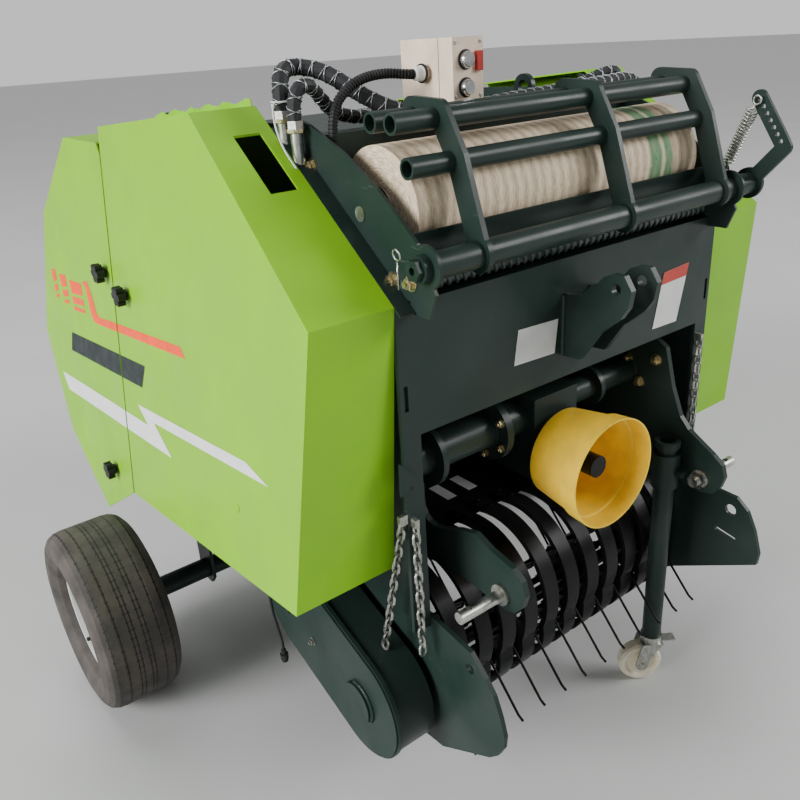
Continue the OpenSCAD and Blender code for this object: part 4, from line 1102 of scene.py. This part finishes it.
def make_floor(half):
    """A matt pale floor that runs to the horizon, with cloudy patches 0.9 m across."""
    made, tree, shader, place = fresh("pale_matt_floor", 0.85)
    clouds = patches(tree, place, 900, low=0.2, high=0.8)
    dull = linear("#BFC1BF")
    pale = linear("#C6C8C6")
    tone = node(tree, MIX, {FACTOR: clouds, FIRST_COLOUR: dull, SECOND_COLOUR: pale}, data_type="RGBA")
    feed(tree, shader, {"Base Color": tone})
    mesh = bpy.data.meshes.new("floor")
    corners = [(-half, -half, 0), (half, -half, 0), (half, half, 0), (-half, half, 0)]
    mesh.from_pydata(corners, [], [(0, 1, 2, 3)])
    mesh.materials.append(made)
    floor = bpy.data.objects.new("floor", mesh)
    bpy.context.scene.collection.objects.link(floor)


AIM = Vector((0, 0, 0.7))
KEY_PLACE = (-11.0, 0.4, 4.6)
KEY_SIZE = 5.5
KEY_POWER = 2000
FILL_PLACE = (6.0, -5.4, 4.8)
FILL_SIZE = 3.5
FILL_POWER = 560
SKYLIGHT_HEADING = Vector((-0.1, -0.55, -1))
SKYLIGHT_ANGLE = math.radians(50)
SKYLIGHT_STRENGTH = 1.5
SKY_STRENGTH = 0.26
SKY_SEEN = 0.5
SKY_REFLECTED = 0.05


def turned_along(heading):
    """The rotation of a lamp that shines along a heading."""
    return heading.to_track_quat("-Z", "Y").to_euler()


def add_area_light(name, place, size, power):
    data = bpy.data.lights.new(name, "AREA")
    data.shape = "SQUARE"
    data.size = size
    data.energy = power
    light = bpy.data.objects.new(name, data)
    light.location = place
    light.rotation_euler = turned_along(AIM - Vector(place))
    bpy.context.scene.collection.objects.link(light)


def make_lights(level):
    """A broad key from the left, a broad skylight, and a fill from the front right."""
    add_area_light("key", KEY_PLACE, KEY_SIZE, KEY_POWER * level)
    skylight = bpy.data.lights.new("skylight", "SUN")
    skylight.energy = SKYLIGHT_STRENGTH * level
    skylight.angle = SKYLIGHT_ANGLE
    lamp = bpy.data.objects.new("skylight", skylight)
    lamp.rotation_euler = turned_along(SKYLIGHT_HEADING)
    bpy.context.scene.collection.objects.link(lamp)
    add_area_light("front_right", FILL_PLACE, FILL_SIZE, FILL_POWER * level)


def make_sky(level):
    """A white sky, weak as a light, that camera and clear rays see brighter and glossy rays a little."""
    world = bpy.data.worlds.new("studio")
    bpy.context.scene.world = world
    world.use_nodes = True
    tree = world.node_tree
    rays = node(tree, "ShaderNodeLightPath")
    camera_ray = rays.outputs["Is Camera Ray"]
    seen = node(tree, MATH, {0: camera_ray, 1: rays.outputs["Is Transmission Ray"]}, operation="MAXIMUM")
    seen = node(tree, MATH, {0: seen, 1: SKY_SEEN}, operation="MULTIPLY")
    glance = node(tree, MATH, {0: rays.outputs["Is Glossy Ray"], 1: SKY_REFLECTED}, operation="MULTIPLY")
    strength = node(tree, MATH, {0: seen, 1: glance}, operation="ADD")
    strength = node(tree, MATH, {0: strength, 1: SKY_STRENGTH * level}, operation="ADD")
    feed(tree, tree.nodes["Background"], {"Color": (1, 1, 1, 1), "Strength": strength})


# Settings and operators

def colour_property(label, words, code):
    return FloatVectorProperty(name=label, description=words, size=4, subtype="COLOR", default=linear(code),
                               min=0, max=1)


def length_property(label, words, value):
    return FloatProperty(name=label, description=words, default=value, unit="LENGTH", min=0.0005,
                         precision=4)


class BalerLooks(bpy.types.PropertyGroup):
    cover_colour: colour_property("Cover colour", "Enamel of the side covers", "#86C608")
    frame_colour: colour_property("Frame colour", "Enamel of the frame and its plates", "#1D2E29")
    guard_colour: colour_property("Shaft guard colour", "Moulded guard round the drive shaft", "#FFCA32")
    tyre_colour: colour_property("Tyre colour", "Dustiest tone of the tyre rubber", "#544C47")
    net_colour: colour_property("Net colour", "Lightest tone of the bale net", "#FDEBCF")
    net_stripe_colour: colour_property("Net stripe colour", "Marking threads of the bale net", "#2F8452")
    bolt_size: length_property("Bolt size", "Width of the largest bolt heads", 0.017)
    lattice_pitch: length_property("Hose guard pitch", "Length of one turn of the wire round a hose", 0.022)
    rope_pitch: length_property("Roller rib pitch", "Length of one turn of a rib on the feed roller", 0.05)
    floor_half: length_property("Floor half width", "Half the width of the floor", 60.0)
    light_level: FloatProperty(name="Light level", description="Share of the lamps' full strength",
                               default=1.0, subtype="FACTOR", min=0, max=2)


class BalerMakeFinishes(bpy.types.Operator):
    """Gives every solid of the frame its finish"""
    bl_idname = "baler.make_finishes"
    bl_label = "Finishes"

    def execute(self, context):
        build_painted(context.scene.baler_looks)
        build_plated()
        build_moulded(context.scene.baler_looks)
        finish_solids()
        return {"FINISHED"}


class BalerMakeStripes(bpy.types.Operator):
    """Makes the stripes on the left covers"""
    bl_idname = "baler.make_stripes"
    bl_label = "Stripes"

    def execute(self, context):
        make_stripes()
        return {"FINISHED"}


class BalerMakePlates(bpy.types.Operator):
    """Makes the blank plates on the panel, the post's tab and the strips on the pickup's floor"""
    bl_idname = "baler.make_plates"
    bl_label = "Plates and strips"

    def execute(self, context):
        make_plates()
        return {"FINISHED"}


class BalerMakeFasteners(bpy.types.Operator):
    """Makes the bolts, nuts, clips and tyre valves"""
    bl_idname = "baler.make_fasteners"
    bl_label = "Fasteners"

    def execute(self, context):
        make_fasteners(context.scene.baler_looks.bolt_size)
        make_valves()
        return {"FINISHED"}


class BalerMakeWelds(bpy.types.Operator):
    """Makes the weld beads on the ears, the cross tube and the drive case's hub"""
    bl_idname = "baler.make_welds"
    bl_label = "Welds"

    def execute(self, context):
        make_welds()
        return {"FINISHED"}


class BalerMakeFrontKnobs(bpy.types.Operator):
    """Makes the front covers' knobs and the plain heads below them"""
    bl_idname = "baler.make_front_knobs"
    bl_label = "Front knobs"

    def execute(self, context):
        make_front_knobs()
        return {"FINISHED"}


class BalerMakeBoxTrim(bpy.types.Operator):
    """Makes the control box's bezels, screws, lamp and gland"""
    bl_idname = "baler.make_box_trim"
    bl_label = "Control box trim"

    def execute(self, context):
        make_box_trim()
        return {"FINISHED"}


class BalerMakeHoseTrim(bpy.types.Operator):
    """Makes the hoses' wire guards, the conduit's ribs and the cable tie"""
    bl_idname = "baler.make_hose_trim"
    bl_label = "Hose trim"

    def execute(self, context):
        make_hose_trim(context.scene.baler_looks.lattice_pitch)
        return {"FINISHED"}


class BalerMakeRollerRopes(bpy.types.Operator):
    """Makes the wound ribs of the net's feed roller"""
    bl_idname = "baler.make_roller_ropes"
    bl_label = "Feed roller ribs"

    def execute(self, context):
        make_roller_ropes(context.scene.baler_looks.rope_pitch)
        return {"FINISHED"}


class BalerMakeSpring(bpy.types.Operator):
    """Makes the brake arm's coil spring"""
    bl_idname = "baler.make_spring"
    bl_label = "Brake spring"

    def execute(self, context):
        make_spring()
        return {"FINISHED"}


class BalerMakeReelTrim(bpy.types.Operator):
    """Makes the tine clips and the tines' bent tips"""
    bl_idname = "baler.make_reel_trim"
    bl_label = "Reel trim"

    def execute(self, context):
        make_reel_trim()
        return {"FINISHED"}


class BalerMakeCoverLip(bpy.types.Operator):
    """Makes the wavy lip along the left cover's top"""
    bl_idname = "baler.make_cover_lip"
    bl_label = "Cover lip"

    def execute(self, context):
        make_cover_lip()
        return {"FINISHED"}


class BalerMakeStage(bpy.types.Operator):
    """Makes the floor, the soft studio lights and the sky"""
    bl_idname = "baler.make_stage"
    bl_label = "Stage"

    def execute(self, context):
        make_floor(context.scene.baler_looks.floor_half)
        make_lights(context.scene.baler_looks.light_level)
        make_sky(context.scene.baler_looks.light_level)
        return {"FINISHED"}


OPERATORS = (BalerMakeFinishes, BalerMakeStripes, BalerMakePlates, BalerMakeFasteners, BalerMakeWelds,
             BalerMakeFrontKnobs, BalerMakeBoxTrim, BalerMakeHoseTrim, BalerMakeRollerRopes,
             BalerMakeSpring, BalerMakeReelTrim, BalerMakeCoverLip, BalerMakeStage)


class BALER_PT_looks(bpy.types.Panel):
    bl_label = "Round baler"
    bl_idname = "BALER_PT_looks"
    bl_space_type = "VIEW_3D"
    bl_region_type = "UI"
    bl_category = "Baler"

    def draw(self, context):
        for name in BalerLooks.__annotations__:
            self.layout.prop(context.scene.baler_looks, name)
        for operator in OPERATORS:
            self.layout.operator(operator.bl_idname)


CLASSES = (BalerLooks,) + OPERATORS + (BALER_PT_looks,)


def register():
    for made in CLASSES:
        bpy.utils.register_class(made)
    bpy.types.Scene.baler_looks = PointerProperty(type=BalerLooks)


def unregister():
    del bpy.types.Scene.baler_looks
    for made in reversed(CLASSES):
        bpy.utils.unregister_class(made)


def main():
    register()
    bpy.ops.baler.make_finishes()
    bpy.ops.baler.make_stripes()
    bpy.ops.baler.make_plates()
    bpy.ops.baler.make_fasteners()
    bpy.ops.baler.make_welds()
    bpy.ops.baler.make_front_knobs()
    bpy.ops.baler.make_box_trim()
    bpy.ops.baler.make_hose_trim()
    bpy.ops.baler.make_roller_ropes()
    bpy.ops.baler.make_spring()
    bpy.ops.baler.make_reel_trim()
    bpy.ops.baler.make_cover_lip()
    bpy.ops.baler.make_stage()


if __name__ == "__main__":
    main()
